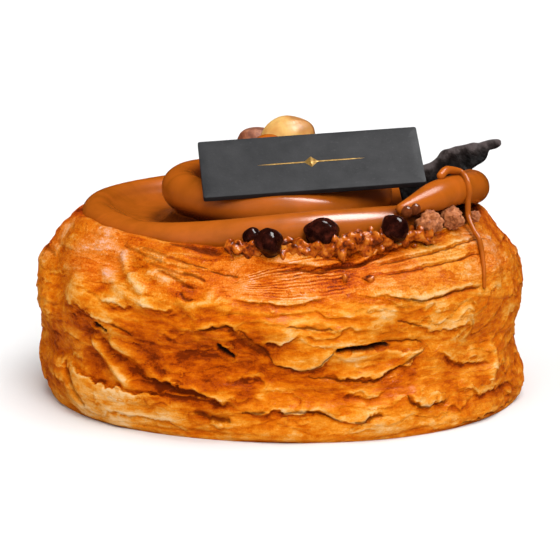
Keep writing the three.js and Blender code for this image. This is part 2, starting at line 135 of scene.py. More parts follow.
# %% The finish helper
class Finish:
    """A procedural material. Sizes of patterns are in millimetres on the object."""

    # Between these turns away from the eye a coat fades: 0 is a surface that faces it, 1 the outline
    COAT_FADES = (0.3, 0.75)
    # How open to the room a crease still is when its painted shade is at its darkest
    CREASE_OPEN = 0.52

    def __init__(self, name, **sockets):
        self.material = bpy.data.materials.new(name)
        self.material.use_nodes = True
        self.tree = self.material.node_tree
        self.shader = self.tree.nodes["Principled BSDF"]
        for socket, value in sockets.items():
            self.set(self.shader.inputs[socket.replace("_", " ")], value)

    def set(self, socket, value):
        """Links a socket to another one, or gives it a constant."""
        if isinstance(value, bpy.types.NodeSocket):
            self.tree.links.new(value, socket)
        elif isinstance(value, tuple) and len(value) == 3 and socket.type == "RGBA":
            socket.default_value = (*value, 1)
        else:
            socket.default_value = value

    def node(self, kind, inputs, **settings):
        """Adds a node, sets it up and fills its inputs."""
        node = self.tree.nodes.new(kind)
        for name, value in settings.items():
            setattr(node, name, value)
        for name, value in inputs.items():
            self.set(node.inputs[name], value)
        return node

    def place(self):
        """Where a point lies on the part: its object coordinates in metres."""
        return self.tree.nodes.new("ShaderNodeTexCoord").outputs["Object"]

    def axis(self, index):
        """One object coordinate in metres: 0 for x, 1 for y, 2 for the height."""
        return self.node("ShaderNodeSeparateXYZ", {0: self.place()}).outputs[index]

    def noise(self, size, stretch=(1, 1, 1), detail=3.0, roughness=0.55, distortion=0.0,
              within=None, pick=None):
        """Noise from 0 to 1 whose lumps are about size across, drawn out by stretch along each axis.
        It reads object coordinates or those given, and pick chooses one of many unlike noises."""
        if within is None:
            within = self.place()
        scale = tuple(1 / (MM * size * s) for s in stretch)
        placed = self.node("ShaderNodeMapping", {"Vector": within, "Scale": scale}).outputs["Vector"]
        inputs = {"Vector": placed, "Scale": 1.0, "Detail": detail, "Roughness": roughness,
                  "Distortion": distortion}
        if pick is None:
            return self.node("ShaderNodeTexNoise", inputs).outputs["Fac"]
        return self.node("ShaderNodeTexNoise", {**inputs, "W": pick}, noise_dimensions="4D").outputs["Fac"]

    def attribute(self, name):
        """A mark that the mesh carries at each point."""
        return self.node("ShaderNodeAttribute", {}, attribute_name=name).outputs["Fac"]

    def spread(self, value, low, high, to_low=0.0, to_high=1.0):
        """Maps low..high onto to_low..to_high and cuts off what lies beyond."""
        inputs = {"Value": value, "From Min": low, "From Max": high, "To Min": to_low, "To Max": to_high}
        return self.node("ShaderNodeMapRange", inputs, clamp=True).outputs["Result"]

    def sums(self, first, second, operation="ADD"):
        """A sum of two values, or another operation on them."""
        return self.node("ShaderNodeMath", {0: first, 1: second}, operation=operation).outputs[0]

    def times(self, *values):
        """The product of several values."""
        total = values[0]
        for value in values[1:]:
            total = self.sums(total, value, "MULTIPLY")
        return total

    def gloss(self, level, at_edge, where=None):
        """A clear coat that fades towards the outline, where a grazing light would veil the colour."""
        facing = self.node("ShaderNodeLayerWeight", {"Blend": 0.5}).outputs["Facing"]
        coat = self.spread(facing, *self.COAT_FADES, level, at_edge)
        self.set(self.shader.inputs["Coat Weight"], coat if where is None else self.times(coat, where))

    def openness(self, reach):
        """From 0 in a crease to 1 in the open: how much of the piece itself is near, within a reach. It sets
        where shade is painted into creases.
        """
        node = self.node("ShaderNodeAmbientOcclusion", {"Distance": reach * MM}, samples=6, only_local=True)
        return self.spread(node.outputs["AO"], self.CREASE_OPEN, 1.0)

    def ramp(self, value, stops):
        """A colour for each value: stops are (place, colour)."""
        node = self.node("ShaderNodeValToRGB", {"Fac": value})
        elements = node.color_ramp.elements
        for place, colour in stops[2:]:
            elements.new(place)
        for element, (place, colour) in zip(elements, stops):
            element.position = place
            element.color = (*colour, 1)
        return node.outputs["Color"]

    def mix(self, share, first, second, blend="MIX"):
        """A colour that goes from the first to the second by a share, or blends them in another way."""
        node = self.node("ShaderNodeMix", {}, data_type="RGBA", blend_type=blend)
        for index, value in ((0, share), (6, first), (7, second)):
            self.set(node.inputs[index], value)
        return node.outputs[2]

    def bump(self, *layers):
        """Stacks bumps: each layer is (height from 0 to 1, depth in millimetres)."""
        normal = None
        for height, depth in layers:
            inputs = {"Height": height, "Distance": depth * MM, "Strength": 1.0}
            if normal is not None:
                inputs["Normal"] = normal
            normal = self.node("ShaderNodeBump", inputs).outputs["Normal"]
        for socket in ("Normal", "Coat Normal"):
            self.set(self.shader.inputs[socket], normal)

    def colour(self, value):
        """Sets the base colour."""
        self.set(self.shader.inputs["Base Color"], value)

    def roughness(self, value):
        """Sets how rough the surface is, from 0 for a mirror to 1."""
        self.set(self.shader.inputs["Roughness"], value)


table = Finish("table_white", Specular_IOR_Level=0.1)
table.colour(table.ramp(table.noise(60), [(0.3, (0.68, 0.68, 0.68)), (0.7, (0.70, 0.70, 0.70))]))
table.roughness(table.spread(table.noise(25), 0.3, 0.7, 0.7, 0.85))
floor_mesh.materials.append(table.material)
print("finish for the table:", table.material.name)

# %% [markdown]
# ## From arrays to pieces
# A piece is a grid of points worked out with numpy. Its faces join each point to its neighbours, the
# last column joins the first, and a single point closes each end. If the volume comes out negative the
# faces are turned round, so every piece faces outwards.

# %% The piece helper
def round_faces(rows, columns):
    """Faces of a grid closed round its columns, with a point before the first row and one after the last."""
    column = np.arange(columns)
    ahead = (column + 1) % columns
    row = np.arange(rows - 1)[:, None] * columns
    quads = np.stack([row + column, row + ahead, row + columns + ahead, row + columns + column], -1)
    start, last = rows * columns, (rows - 1) * columns
    below = np.stack([np.full(columns, start), ahead, column], -1)
    above = np.stack([np.full(columns, start + 1), last + column, last + ahead], -1)
    return quads.reshape(-1, 4), np.concatenate([below, above])


def round_points(grid, start, end):
    """The points of such a grid in one list, its two end points last."""
    return np.concatenate([grid.reshape(-1, 3), [start], [end]])


def round_shell(grid, start, end):
    """Such a grid as a closed shell: points, quads and triangles."""
    return round_points(grid, start, end), *round_faces(*grid.shape[:2])


def many_round(grids, starts, ends):
    """Many like grids at once as one such list: grids is count x rows x columns x 3."""
    count, rows, columns, _ = grids.shape
    each = rows * columns + 2
    points = np.concatenate([grids.reshape(count, -1, 3), starts[:, None], ends[:, None]], 1)
    quads, triangles = round_faces(rows, columns)
    shift = (np.arange(count) * each)[:, None, None]
    return points.reshape(-1, 3), (quads + shift).reshape(-1, 4), (triangles + shift).reshape(-1, 3)


def volume_of(points, quads, triangles):
    """Signed volume: the sum over triangles of corner . (corner x corner) / 6."""
    fans = np.concatenate([quads[:, [0, 1, 2]], quads[:, [0, 2, 3]], triangles])
    a, b, c = (points[fans[:, k]] for k in range(3))
    return (a * np.cross(b, c)).sum() / 6


def facing_out(points, quads, triangles):
    """The same shell with its faces turned round if its volume is negative."""
    if volume_of(points, quads, triangles) < 0:
        quads, triangles = quads[:, ::-1], triangles[:, ::-1]
    return points, quads, triangles


def joined(shells):
    """Several shells in one list, where the numbers of each one's points follow those of the one before."""
    points, quads, triangles = zip(*shells)
    first = np.cumsum([0] + [len(each) for each in points[:-1]])
    quads = [each + shift for each, shift in zip(quads, first)]
    triangles = [each + shift for each, shift in zip(triangles, first)]
    return np.concatenate(points), np.concatenate(quads), np.concatenate(triangles)


def add_piece(name, points, quads, triangles, finish, slot, replaces=(), marks=None):
    """Puts points in millimetres into a named mesh, gives it its finish and sets it on the part."""
    points, quads, triangles = facing_out(points, quads, triangles)
    mesh = bpy.data.meshes.new(name)
    mesh.from_pydata((points * MM).tolist(), [], quads.tolist() + triangles.tolist())
    mesh.polygons.foreach_set("use_smooth", np.ones(len(mesh.polygons), bool))
    for mark, values in (marks or {}).items():
        attribute = mesh.attributes.new(mark, "FLOAT", "POINT")
        attribute.data.foreach_set("value", np.asarray(values, np.float32).ravel())
    mesh.materials.append(finish.material)
    piece = bpy.data.objects.new(name, mesh)
    bpy.context.collection.objects.link(piece)
    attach(piece, "root")
    if replaces:
        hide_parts(*replaces)
    print(name, 2 * len(quads) + len(triangles), "triangles")
    return piece


print("a grid of 3 by 8 has", len(round_faces(3, 8)[0]), "quads and", len(round_faces(3, 8)[1]), "triangles")

# %% [markdown]
# ## Chance that repeats
# Baking is uneven, and the unevenness must come out the same each time the script runs. Whole-number
# ripples with chance phases wave round the pastry without a seam, as in the CAD source. Clouds are
# smooth noise in space: many cosine waves that cross each point from chance directions.

# %% Chance, ripples and clouds
def chance(a, b):
    """A repeatable number from 0 to 1 for a pair of numbers: the fraction of a large sine."""
    x = np.sin(a * 12.9898 + b * 78.233) * 43758.5453
    return x - np.floor(x)


def ripple(angle, seed, slowest, count):
    """Sum of count cosines of whole-number frequency, of about unit height."""
    total = sum(np.cos((slowest + k) * angle + 2 * np.pi * chance(seed, k)) for k in range(count))
    return total / np.sqrt(count)


def cloud(points, size, seed, stretch=(1, 1, 1), waves=28):
    """Smooth noise of about unit height with lumps of the given size, drawn out along the axes."""
    draw = np.random.default_rng(seed)
    direction = draw.normal(size=(waves, 3))
    direction /= np.linalg.norm(direction, axis=1, keepdims=True)
    length = size * draw.uniform(1.4, 2.8, waves)
    phase = draw.uniform(0, 2 * np.pi, waves)
    wave = (direction / length[:, None]) / np.asarray(stretch, float)
    return np.cos(2 * np.pi * (points @ wave.T) + phase).sum(-1) * np.sqrt(2 / waves)


def clouds(points, layers):
    """Clouds added up. Each has a height, a size and a seed, and a stretch if it is drawn out."""
    return sum(height * cloud(points, size, seed, *stretch) for height, size, seed, *stretch in layers)


def smoothstep(value, low, high):
    """Rises smoothly from 0 at low to 1 at high: t t (3 - 2 t), with t the share of the way."""
    t = np.clip((value - low) / (high - low), 0, 1)
    return t * t * (3 - 2 * t)


def bell(value, width):
    """1 where the value is 0 and less on both sides: e to the power of minus (value / width) squared."""
    return np.exp(-((value / width) ** 2))


def lerp(first, second, share):
    """The value that lies a share of the way from the first to the second."""
    return first + (second - first) * share


def spline(points, count):
    """A uniform Catmull-Rom curve through the points, sampled evenly in its parameter."""
    points = np.asarray(points, float)
    place = np.linspace(0, len(points) - 1, count)
    k = np.minimum(place.astype(int), len(points) - 2)
    t = (place - k)[:, None]
    last = len(points) - 1
    p0, p1, p2, p3 = (points[np.clip(k + shift, 0, last)] for shift in (-1, 0, 1, 2))
    v0, v1 = (p2 - p0) / 2, (p3 - p1) / 2
    return (2 * (p1 - p2) + v0 + v1) * t**3 + (3 * (p2 - p1) - 2 * v0 - v1) * t**2 + v0 * t + p1


def turn_from(degrees, to):
    """The shortest way round from one angle to another."""
    return (degrees - to + 180) % 360 - 180


print("a chance number:", round(float(chance(1, 2)), 4))

# %% [markdown]
# ## The round of pastry
# The dough rises into an upright wall, a sloping shoulder and a rim round a shallow well. Its section
# is one spline turned about the axis, with the same values as the CAD solid, so the dressed pastry
# fills the same room.

# %% Section and surface of the pastry
WALL_RADIUS, WAIST_DEPTH, SHOULDER_HEIGHT = 52.0, 1.0, 28.5
RIM_RADIUS, RIM_HEIGHT, WELL_HEIGHT = 43.4, 38.2, 35.2
RIM_LIFT, RIM_NOTCH, RIM_NOTCH_ANGLE, RIM_NOTCH_WIDTH = 0.5, 1.7, -92, 27
OUTLINE_UNEVENNESS, FOOT_TUCK, FOOT_TUCK_ANGLE = 0.5, 3.0, 222
# Places along the section, as shares: where the tuck of the foot ends, and where the rim's lift acts
FOOT_ENDS, LIFT_STARTS, LIFT_FULL, LIFT_FADES = 0.22, 0.42, 0.78, 0.9
SECTION_POINTS = 1200

section = spline(
    [
        (WALL_RADIUS, 0),
        (WALL_RADIUS + 0.7, 1.6),
        (WALL_RADIUS + 0.8, 6),
        (WALL_RADIUS - WAIST_DEPTH, SHOULDER_HEIGHT / 2),
        (WALL_RADIUS + 0.3, SHOULDER_HEIGHT - 6),
        (WALL_RADIUS - 0.8, SHOULDER_HEIGHT),
        (lerp(RIM_RADIUS, WALL_RADIUS, 0.5), lerp(SHOULDER_HEIGHT, RIM_HEIGHT, 0.52)),
        (RIM_RADIUS + 0.8, RIM_HEIGHT - 0.6),
        (RIM_RADIUS - 0.9, RIM_HEIGHT),
        (RIM_RADIUS - 2.6, WELL_HEIGHT + 1.2),
        (RIM_RADIUS - 5, WELL_HEIGHT),
    ],
    SECTION_POINTS,
)
section_steps = np.linalg.norm(np.diff(section, axis=0), axis=1)
section_share = np.concatenate([[0], np.cumsum(section_steps)])
SECTION_LENGTH = section_share[-1]
section_share /= SECTION_LENGTH
section_ahead = np.gradient(section, axis=0)
section_ahead /= np.linalg.norm(section_ahead, axis=1, keepdims=True)


def rim_lift(degrees):
    """How much higher the rim stands: even all round, with a smooth dip at the front."""
    return RIM_LIFT - RIM_NOTCH * bell(turn_from(degrees, RIM_NOTCH_ANGLE), RIM_NOTCH_WIDTH)


def pastry_point(along, angle, proud):
    """Turns the section about the axis: a place along it, an angle, and how far proud of it."""
    radius, height = (np.interp(along, section_share, section[:, k]) for k in (0, 1))
    out, up = (np.interp(along, section_share, section_ahead[:, k]) for k in (0, 1))
    facing = np.maximum(0, np.cos(angle - np.radians(FOOT_TUCK_ANGLE)))
    tuck = FOOT_TUCK * (1 - smoothstep(along, 0, FOOT_ENDS)) * facing**2
    radius = radius + up * proud + OUTLINE_UNEVENNESS * ripple(angle, 3, 2, 4) - tuck
    raised = smoothstep(along, LIFT_STARTS, LIFT_FULL) * (1 - smoothstep(along, LIFT_FADES, 1))
    height = height - out * proud + rim_lift(np.degrees(angle)) * raised
    return np.stack([radius * np.cos(angle), radius * np.sin(angle), height], -1)


print("section", round(SECTION_LENGTH, 1), "mm from foot to well")

# %% [markdown]
# ## Marks read off the picture
# The side shows particular slits, lips and folds. Each is a short stroke of picture points. A ray from
# the camera through a point meets the turned section, and that gives the stroke's angle and its place
# along the section, so it lies on the pastry from every side.

# %% From a picture point to the pastry
UNROLL_RADIUS = 52.0
RAY_FROM, RAY_TO, RAY_STEPS = 430, 560, 1400
MIDDLE_OF_FRONT = (280, 350)
rim_top = int(np.argmax(section[:, 1]))


def on_pastry(pixels):
    """Angle and place along the section where the camera's rays first meet the pastry."""
    across = (np.asarray(pixels, float) - PICTURE_PIXELS / 2) / FOCAL_PIXELS
    rays = AHEAD + across[:, :1] * RIGHT - across[:, 1:] * UP
    reach = np.linspace(RAY_FROM, RAY_TO, RAY_STEPS)
    points = CAMERA_PLACE + rays[:, None] * reach[None, :, None]
    outside = np.interp(points[..., 2], section[:rim_top, 1], section[:rim_top, 0])
    inside = (np.hypot(points[..., 0], points[..., 1]) < outside) & (points[..., 2] < RIM_HEIGHT)
    met = points[np.arange(len(pixels)), inside.argmax(1)]
    along = np.interp(met[:, 2], section[:rim_top, 1], section_share[:rim_top])
    return np.arctan2(met[:, 1], met[:, 0]), along


def in_picture(points):
    """Where points of the part come out in the picture, in pixels."""
    seen = points - CAMERA_PLACE
    on_plane = np.stack([seen @ RIGHT, -(seen @ UP)], -1) / (seen @ AHEAD)[..., None]
    return PICTURE_PIXELS / 2 + FOCAL_PIXELS * on_plane


def stroke_path(pixels, count=24):
    """A stroke as a smooth path in the unrolled side: arc in millimetres, then length along the section."""
    angle, along = on_pastry(spline(pixels, count))
    return np.stack([angle * UNROLL_RADIUS, along * SECTION_LENGTH], -1)


print("the middle of the front is at", np.degrees(on_pastry([MIDDLE_OF_FRONT])[0]).round(1), "degrees")

# %% [markdown]
# ## Lips, slits, cracks, folds and lines
# Five kinds of stroke make the flaky relief. A lip is the lower edge of a sheet that stands proud, with
# a recess under it. A slit is a dark gap between sheets and a crack a fine tear. A fold is a raised
# crease, and a line is a shallow groove between thin laminations. Sculpting them by hand would tie them
# to one mesh. As strokes they can be laid on a grid of any fineness.

# %% Strokes seen at the front
# Kind, height or depth in millimetres, width in millimetres, then the picture points. They go from left
# to right, or from right to left for a lip that is the upper edge of its sheet
FRONT_STROKES = [
    ("lip", 0.9, 2.0, [(258, 258), (283, 260.5), (307, 262.5), (323, 265), (338, 262), (349, 255)]),
    ("lip", 0.8, 2.2, [(228, 298), (256, 301), (283, 302), (307, 300), (330, 293)]),
    ("lip", 1.0, 2.4, [(262, 347), (274, 344), (288, 341), (299, 333)]),
    ("crack", 0.9, 0.34, [(285, 327), (300, 325), (315, 328), (335, 330)]),
    ("crack", 1.3, 0.9, [(174, 239), (190, 243.5), (206, 247.5), (224, 251)]),
    ("crack", 1.0, 0.4, [(270, 267.5), (298, 265.5), (320, 268), (336, 264.5),
                         (357, 262), (373, 258), (392, 251)]),
    ("lip", 1.0, 2.6, [(266, 357), (283, 366), (300, 368.5), (317, 367), (326, 360), (334, 350)]),
    ("slit", 2.6, 0.55, [(333, 350.5), (346, 349), (360, 348), (376, 347), (392, 346.5)]),
    ("crack", 0.8, 0.3, [(380, 343), (395, 342), (410, 342), (424, 343)]),
    ("slit", 1.8, 0.42, [(217, 342), (223, 348), (229, 353), (236, 357)]),
    ("line", 1.1, 0.9, [(222, 326), (236, 333), (247, 342), (262, 352), (274, 363)]),
    ("lip", 0.9, 2.2, [(195, 334), (210, 327), (224, 326), (239, 332)]),
    ("lip", 0.9, 2.6, [(320, 371), (340, 376.5), (357, 377), (377, 375),
                       (390, 373), (402, 365), (412, 356), (426, 349)]),
    ("lip", 0.9, 1.6, [(343, 395), (355, 398), (368, 398.5), (382, 394)]),
    ("lip", 1.0, 1.8, [(232, 411), (248, 415), (263, 415.5), (277, 413), (297, 417.5), (310, 414),
                       (323, 415), (340, 420), (351, 422), (365, 418), (378, 415.5), (398, 415)]),
    ("lip", 0.9, 1.6, [(160, 392), (176, 395), (190, 398), (210, 403.5), (227, 407), (242, 413)]),
    ("crack", 1.6, 0.75, [(191, 413), (205, 418), (218, 421.5), (231, 424)]),
    ("lip", 2.6, 3.4, [(132, 372), (160, 380), (172, 382), (188, 388), (205, 395), (219, 402), (236, 410)]),
    ("fold", 1.5, 1.3, [(94, 332), (104, 352), (118, 372), (135, 390)]),
    ("fold", 1.2, 1.5, [(108, 338), (125, 346), (143, 362), (165, 376)]),
    ("slit", 1.6, 0.5, [(95, 322), (103, 326), (111, 331)]),
    ("crack", 0.9, 0.3, [(112, 322), (122, 327), (135, 334)]),
    ("fold", 1.0, 1.5, [(98, 264), (116, 280), (136, 298), (158, 308)]),
    ("fold", 0.9, 1.2, [(122, 250), (127, 268), (137, 281), (152, 293)]),
    ("fold", 0.7, 1.2, [(133, 272), (140, 284), (151, 293)]),
    ("fold", 0.8, 1.3, [(176, 296), (183, 304), (196, 307), (208, 302), (213, 293), (208, 285)]),
    ("fold", 0.5, 1.0, [(148, 272), (160, 276), (176, 285)]),
    ("crack", 0.9, 0.4, [(180, 271), (197, 275), (206, 279)]),
    ("crack", 0.8, 0.25, [(209, 267.5), (224, 270), (239, 272)]),
    ("crack", 0.7, 0.22, [(176, 258), (192, 262), (209, 266)]),
    ("line", 0.5, 0.5, [(124, 246), (145, 255), (166, 263)]),
    ("line", 0.5, 0.5, [(140, 246), (165, 255), (192, 262)]),
    ("line", 0.5, 0.5, [(148, 262), (170, 270), (192, 276)]),
    ("line", 0.5, 0.5, [(158, 270), (178, 280), (196, 289)]),
    ("lip", 0.7, 1.4, [(140, 303), (152, 309), (164, 311), (176, 308)]),
    ("fold", 0.5, 1.6, [(216, 298), (224, 304), (232, 312)]),
    ("line", 1.2, 1.0, [(63, 360), (70, 385), (81, 408)]),
    ("lip", 0.6, 1.4, [(92, 414), (121, 415), (145, 420), (182, 425)]),
    ("lip", 1.1, 2.2, [(343, 256), (356, 260), (367, 258), (379, 251),
                       (400, 245), (423, 237), (446, 231.5), (467, 228)]),
    ("crack", 0.6, 0.22, [(372, 264.5), (395, 262), (420, 258), (438, 253),
                          (452, 250), (468, 246), (484, 244)]),
    ("crack", 0.5, 0.2, [(380, 276), (400, 274), (420, 270.5), (440, 266), (462, 261), (482, 257)]),
    ("lip", 0.55, 1.6, [(350, 264), (370, 262.5), (395, 260), (420, 256),
                        (438, 251), (452, 248), (468, 244), (484, 242)]),
    ("lip", 0.45, 1.5, [(352, 275), (400, 272), (440, 264), (482, 255)]),
    ("crack", 0.7, 0.22, [(386, 297), (404, 300), (420, 301), (436, 298),
                          (452, 293), (468, 290), (484, 287)]),
    ("lip", 0.65, 2.4, [(346, 291), (370, 297), (388, 297), (408, 302),
                        (432, 298), (452, 292), (472, 288), (490, 283)]),
    ("crack", 0.8, 0.26, [(396, 320.5), (410, 323.5), (424, 325.5)]),
    ("lip", 0.8, 1.8, [(420, 324), (438, 330), (453, 330), (472, 321)]),
    ("lip", 0.9, 2.0, [(434, 349), (448, 361), (468, 363.5), (484, 359)]),
    ("lip", 0.9, 1.8, [(402, 394), (418, 404), (426, 408), (438, 402), (451, 398)]),
    ("lip", 0.6, 1.4, [(426, 431), (452, 428), (472, 420), (492, 413), (508, 406)]),
    ("fold", 0.5, 1.4, [(228, 379), (240, 375), (262, 375)]),
    ("fold", 0.5, 0.9, [(256, 401), (263, 391), (272, 382)]),
    ("fold", 0.6, 1.6, [(486, 338), (492, 360), (488, 384)]),
    ("lip", 1.3, 2.4, [(172, 397), (150, 395), (130, 392), (103, 385), (82, 372), (66, 358)]),
    ("lip", 0.7, 1.8, [(430, 347), (400, 348.5), (370, 350), (340, 353)]),
    ("crack", 0.7, 0.3, [(275, 366), (293, 368.5), (314, 367), (327, 356), (334, 349)]),
    ("crack", 0.7, 0.3, [(302, 376), (322, 377.5), (343, 378.5), (370, 380),
                         (393, 371), (407, 358), (430, 346)]),
    ("crack", 0.8, 0.3, [(237, 326), (245, 334), (253, 342), (264, 353), (276, 364)]),
    ("crack", 0.9, 0.4, [(199, 329), (212, 328), (222, 325), (232, 328)]),
    ("crack", 0.8, 0.34, [(275, 414.5), (298, 413.5), (320, 415), (345, 421)]),
    ("crack", 0.9, 0.45, [(352, 421), (366, 419), (383, 416)]),
    ("crack", 0.7, 0.28, [(404, 395), (411, 402), (425, 407), (436, 403), (447, 398)]),
    ("crack", 0.8, 0.36, [(240, 414), (252, 414.5), (266, 413)]),
    ("crack", 0.7, 0.3, [(457, 424), (480, 417), (500, 409), (516, 399)]),
    ("crack", 0.7, 0.4, [(181, 291), (184, 297), (190, 299.5), (196, 298)]),
    ("lip", 0.7, 1.6, [(64, 300), (82, 305), (100, 318), (118, 324)]),
    ("lip", 0.7, 1.8, [(455, 385), (475, 392), (495, 388), (512, 378)]),
]
strokes = [(kind, size, width, stroke_path(pixels)) for kind, size, width, pixels in FRONT_STROKES]
print(len(strokes), "strokes at the front")

# %% [markdown]
# The sides and back were out of sight, so they get strokes of the same kinds at chance places. Each is
# a gently sloping line in the unrolled side, bent by a slow wave.

# %% Strokes for the sides and back
# Kind and number, then least and most of the height, the width and the length in millimetres
HIDDEN = [("lip", 74, (0.4, 0.9), (1.4, 2.8), (10, 34)), ("slit", 15, (1.0, 2.4), (0.25, 0.55), (5, 15)),
          ("fold", 18, (0.4, 0.9), (0.9, 1.6), (6, 16)), ("line", 40, (0.35, 0.6), (0.4, 0.7), (12, 30))]
# Angles of the hidden part in degrees, and shares of the section for all strokes and for lines
HIDDEN_ANGLES, SIDE_BAND, SHOULDER_BAND = (-8, 188), (0.06, 0.84), (0.58, 0.84)
STEEP, LEVEL, MOST_BEND = 0.5, 0.13, 0.9

draw = np.random.default_rng(11)
for kind, count, sizes, widths, lengths in HIDDEN:
    for k in range(count):
        length = draw.uniform(*lengths)
        angle = np.radians(draw.uniform(*HIDDEN_ANGLES))
        slope = draw.normal(0, STEEP if kind == "fold" else LEVEL)
        share = np.linspace(-0.5, 0.5, 24)
        bend = min(MOST_BEND, length / 30) * np.sin(draw.uniform(0, 6) + share * draw.uniform(3, 9))
        arc = angle * UNROLL_RADIUS + share * length
        band = SHOULDER_BAND if kind == "line" else SIDE_BAND
        climb = draw.uniform(*band) * SECTION_LENGTH + slope * share * length + bend
        strokes.append((kind, draw.uniform(*sizes), draw.uniform(*widths), np.stack([arc, climb], -1)))
print(len(strokes), "strokes with the sides and back")

# %% [markdown]
# Between the strokes that are placed one by one, the front gets short flakes. They are lips too, made in
# the same way but smaller, and they keep large sheets from looking bare.

# %% Short flakes for the front
# Least and most of the length, height and width in millimetres, of the angle and of the place
FLAKES, FLAKE_LENGTHS, FLAKE_HEIGHTS, FLAKE_WIDTHS = 70, (3, 9), (0.3, 0.55), (0.8, 1.5)
FLAKE_ANGLES, FLAKE_BAND, FLAKE_SLOPE, FLAKE_BEND = (-172, -8), (0.05, 0.62), 0.16, 0.4

draw = np.random.default_rng(17)
for k in range(FLAKES):
    length = draw.uniform(*FLAKE_LENGTHS)
    angle = np.radians(draw.uniform(*FLAKE_ANGLES))
    share = np.linspace(-0.5, 0.5, 12)
    climb = draw.uniform(*FLAKE_BAND) * SECTION_LENGTH + draw.normal(0, FLAKE_SLOPE) * share * length
    climb = climb + FLAKE_BEND * np.sin(draw.uniform(0, 6) + share * draw.uniform(4, 9))
    flake = np.stack([angle * UNROLL_RADIUS + share * length, climb], -1)
    strokes.append(("lip", draw.uniform(*FLAKE_HEIGHTS), draw.uniform(*FLAKE_WIDTHS), flake))
print(len(strokes), "strokes all round")

# %% [markdown]
# A stroke acts by signed distance: how far a point of the unrolled side lies above or below the path.
# The distance is made ragged with a fine cloud, so the edges look torn and not drawn. The distances
# are also kept as marks. A finish can cut a distance off sharply, so a crack stays thin and crisp where
# the mesh is coarser than the crack.

# %% How far a point lies from a stroke
def beside(path, arc, climb):
    """Signed distance from a path, positive to the left as one goes along it, so above a path that goes
    to the right, and the share of the path at the nearest place."""
    nearest = np.full(arc.shape, np.inf)
    signed = np.zeros(arc.shape)
    share = np.zeros(arc.shape)
    for k, ((x0, y0), (x1, y1)) in enumerate(zip(path[:-1], path[1:])):
        dx, dy = x1 - x0, y1 - y0
        t = np.clip(((arc - x0) * dx + (climb - y0) * dy) / (dx * dx + dy * dy + 1e-9), 0, 1)
        px, py = arc - x0 - t * dx, climb - y0 - t * dy
        gap = np.hypot(px, py)
        closer = gap < nearest
        nearest = np.where(closer, gap, nearest)
        signed = np.where(closer, np.where(dx * py - dy * px >= 0, gap, -gap), signed)
        share = np.where(closer, (k + t) / (len(path) - 1), share)
    return signed, share


level = np.array([[0, 0], [9, 0]])
print("a point 2 mm above a level path:", beside(level, np.array([4.5]), np.array([2.0]))[0])

# %% [markdown]
# Under the strokes lie the broad forms. The ten wavy layers are those of the CAD solid. Thin sheets in
# two sizes lie over them and follow a flow, which is the height above the foot as the layers count it.

# %% Layers and sheets
LAYERS, WIDE_SHEET, LEAF = 10, 3.3, 1.1
FLOW_BENDS = [(1.9, 9, 56, (2.2, 2.2, 1)), (0.55, 3.2, 57, (1.8, 1.8, 1))]


def layered(along, angle):
    """The CAD solid's ten wavy layers: within each, a quick rise to a lip and a slow lean back."""
    proud = np.zeros(along.shape)
    for layer in range(LAYERS):
        edges = []
        for edge in (layer, layer + 1):
            inside = np.sin(np.pi * edge / LAYERS)
            wave = 0.55 * inside * ripple(angle, 5, 2, 4) + 0.2 * ripple(angle, 20 + edge, 3, 7)
            edges.append(0.035 + 0.88 * (edge + wave * inside) / LAYERS)
        share = (along - edges[0]) / (edges[1] - edges[0])
        strength = 0.65 + 0.45 * ripple(angle, 40 + layer, 2, 6)
        rise = np.interp(share, [0, 0.12, 0.58, 1], [-0.6, 0.75, 0.22, -0.6])
        proud = np.where((share >= 0) & (share < 1), rise * strength, proud)
    return proud


def flow_of(base, climb):
    """Height above the foot as the layers count it: the climb bent by slow and quicker clouds."""
    return climb + clouds(base, FLOW_BENDS)


def sheets(base, flow, spacing, seed):
    """Thin sheets one over another, each proud at its lower edge and leaning back in above it."""
    place = flow / spacing
    share = place - np.floor(place)
    torn = cloud(base, 2.2 * spacing, seed, (2, 2, 0.8)) + chance(np.floor(place), seed) - 0.5
    return smoothstep(torn, -0.4, 1.2) * (smoothstep(share, 0, 0.2 / spacing) * (1 - share) ** 1.2 - 0.3)


print(LAYERS, "layers, sheets of", WIDE_SHEET, "mm and leaves of", LEAF, "mm")

# %% [markdown]
# Each kind of stroke has a profile: a height for every distance from its path. Where a stroke runs out
# its profile fades, by a taper that is 1 along the stroke and 0 at its ends.

# %% Profiles of the strokes
LIP_HEIGHT, LIP_RECESS, LIP_STEP = 0.5, 0.9, 0.2


def lip_profile(d, size, width, taper):
    """A quick step at the path, which falls off slowly above it, and a recess that falls off soon below."""
    over = smoothstep(d, -LIP_STEP, LIP_STEP)
    above = np.exp(-np.maximum(d, 0) / (2.4 * width))
    below = np.exp(np.minimum(d, 0) / (0.6 * width))
    return LIP_HEIGHT * size * taper * (over * above - LIP_RECESS * (1 - over) * below)


def slit_profile(d, size, width, taper, half):
    """A cut with a flat floor, a bell of the distance's fourth power, between slightly raised edges."""
    core = np.exp(-((d / half) ** 4))
    return taper * (0.25 * bell(d, 3 * width) - size * core)


def groove_profile(d, size, width, taper):
    """A bell-shaped groove, for cracks and lines, in a low swelling four times as wide."""
    groove = taper * bell(d, max(width, 0.4))
    return taper * 0.2 * bell(d, 4 * width) - 0.6 * size * groove


print("a lip stands", lip_profile(np.array([0.3]), 1, 2, 1).round(2), "mm proud just above its edge")

# %% [markdown]
# The relief adds all this up. For lips, cracks and slits it also keeps, at each point, the distance of
# the nearest one and its strength, for the finish to draw.

# %% Relief of the pastry's side
# Bulges of the shoulder at the left and the right: angle in degrees, place along the section, height
BULGES = [(180, 0.60, 1.5), (0, 0.53, 0.9)]
BULGE_DEGREES, BULGE_SHARE = 11, 0.045
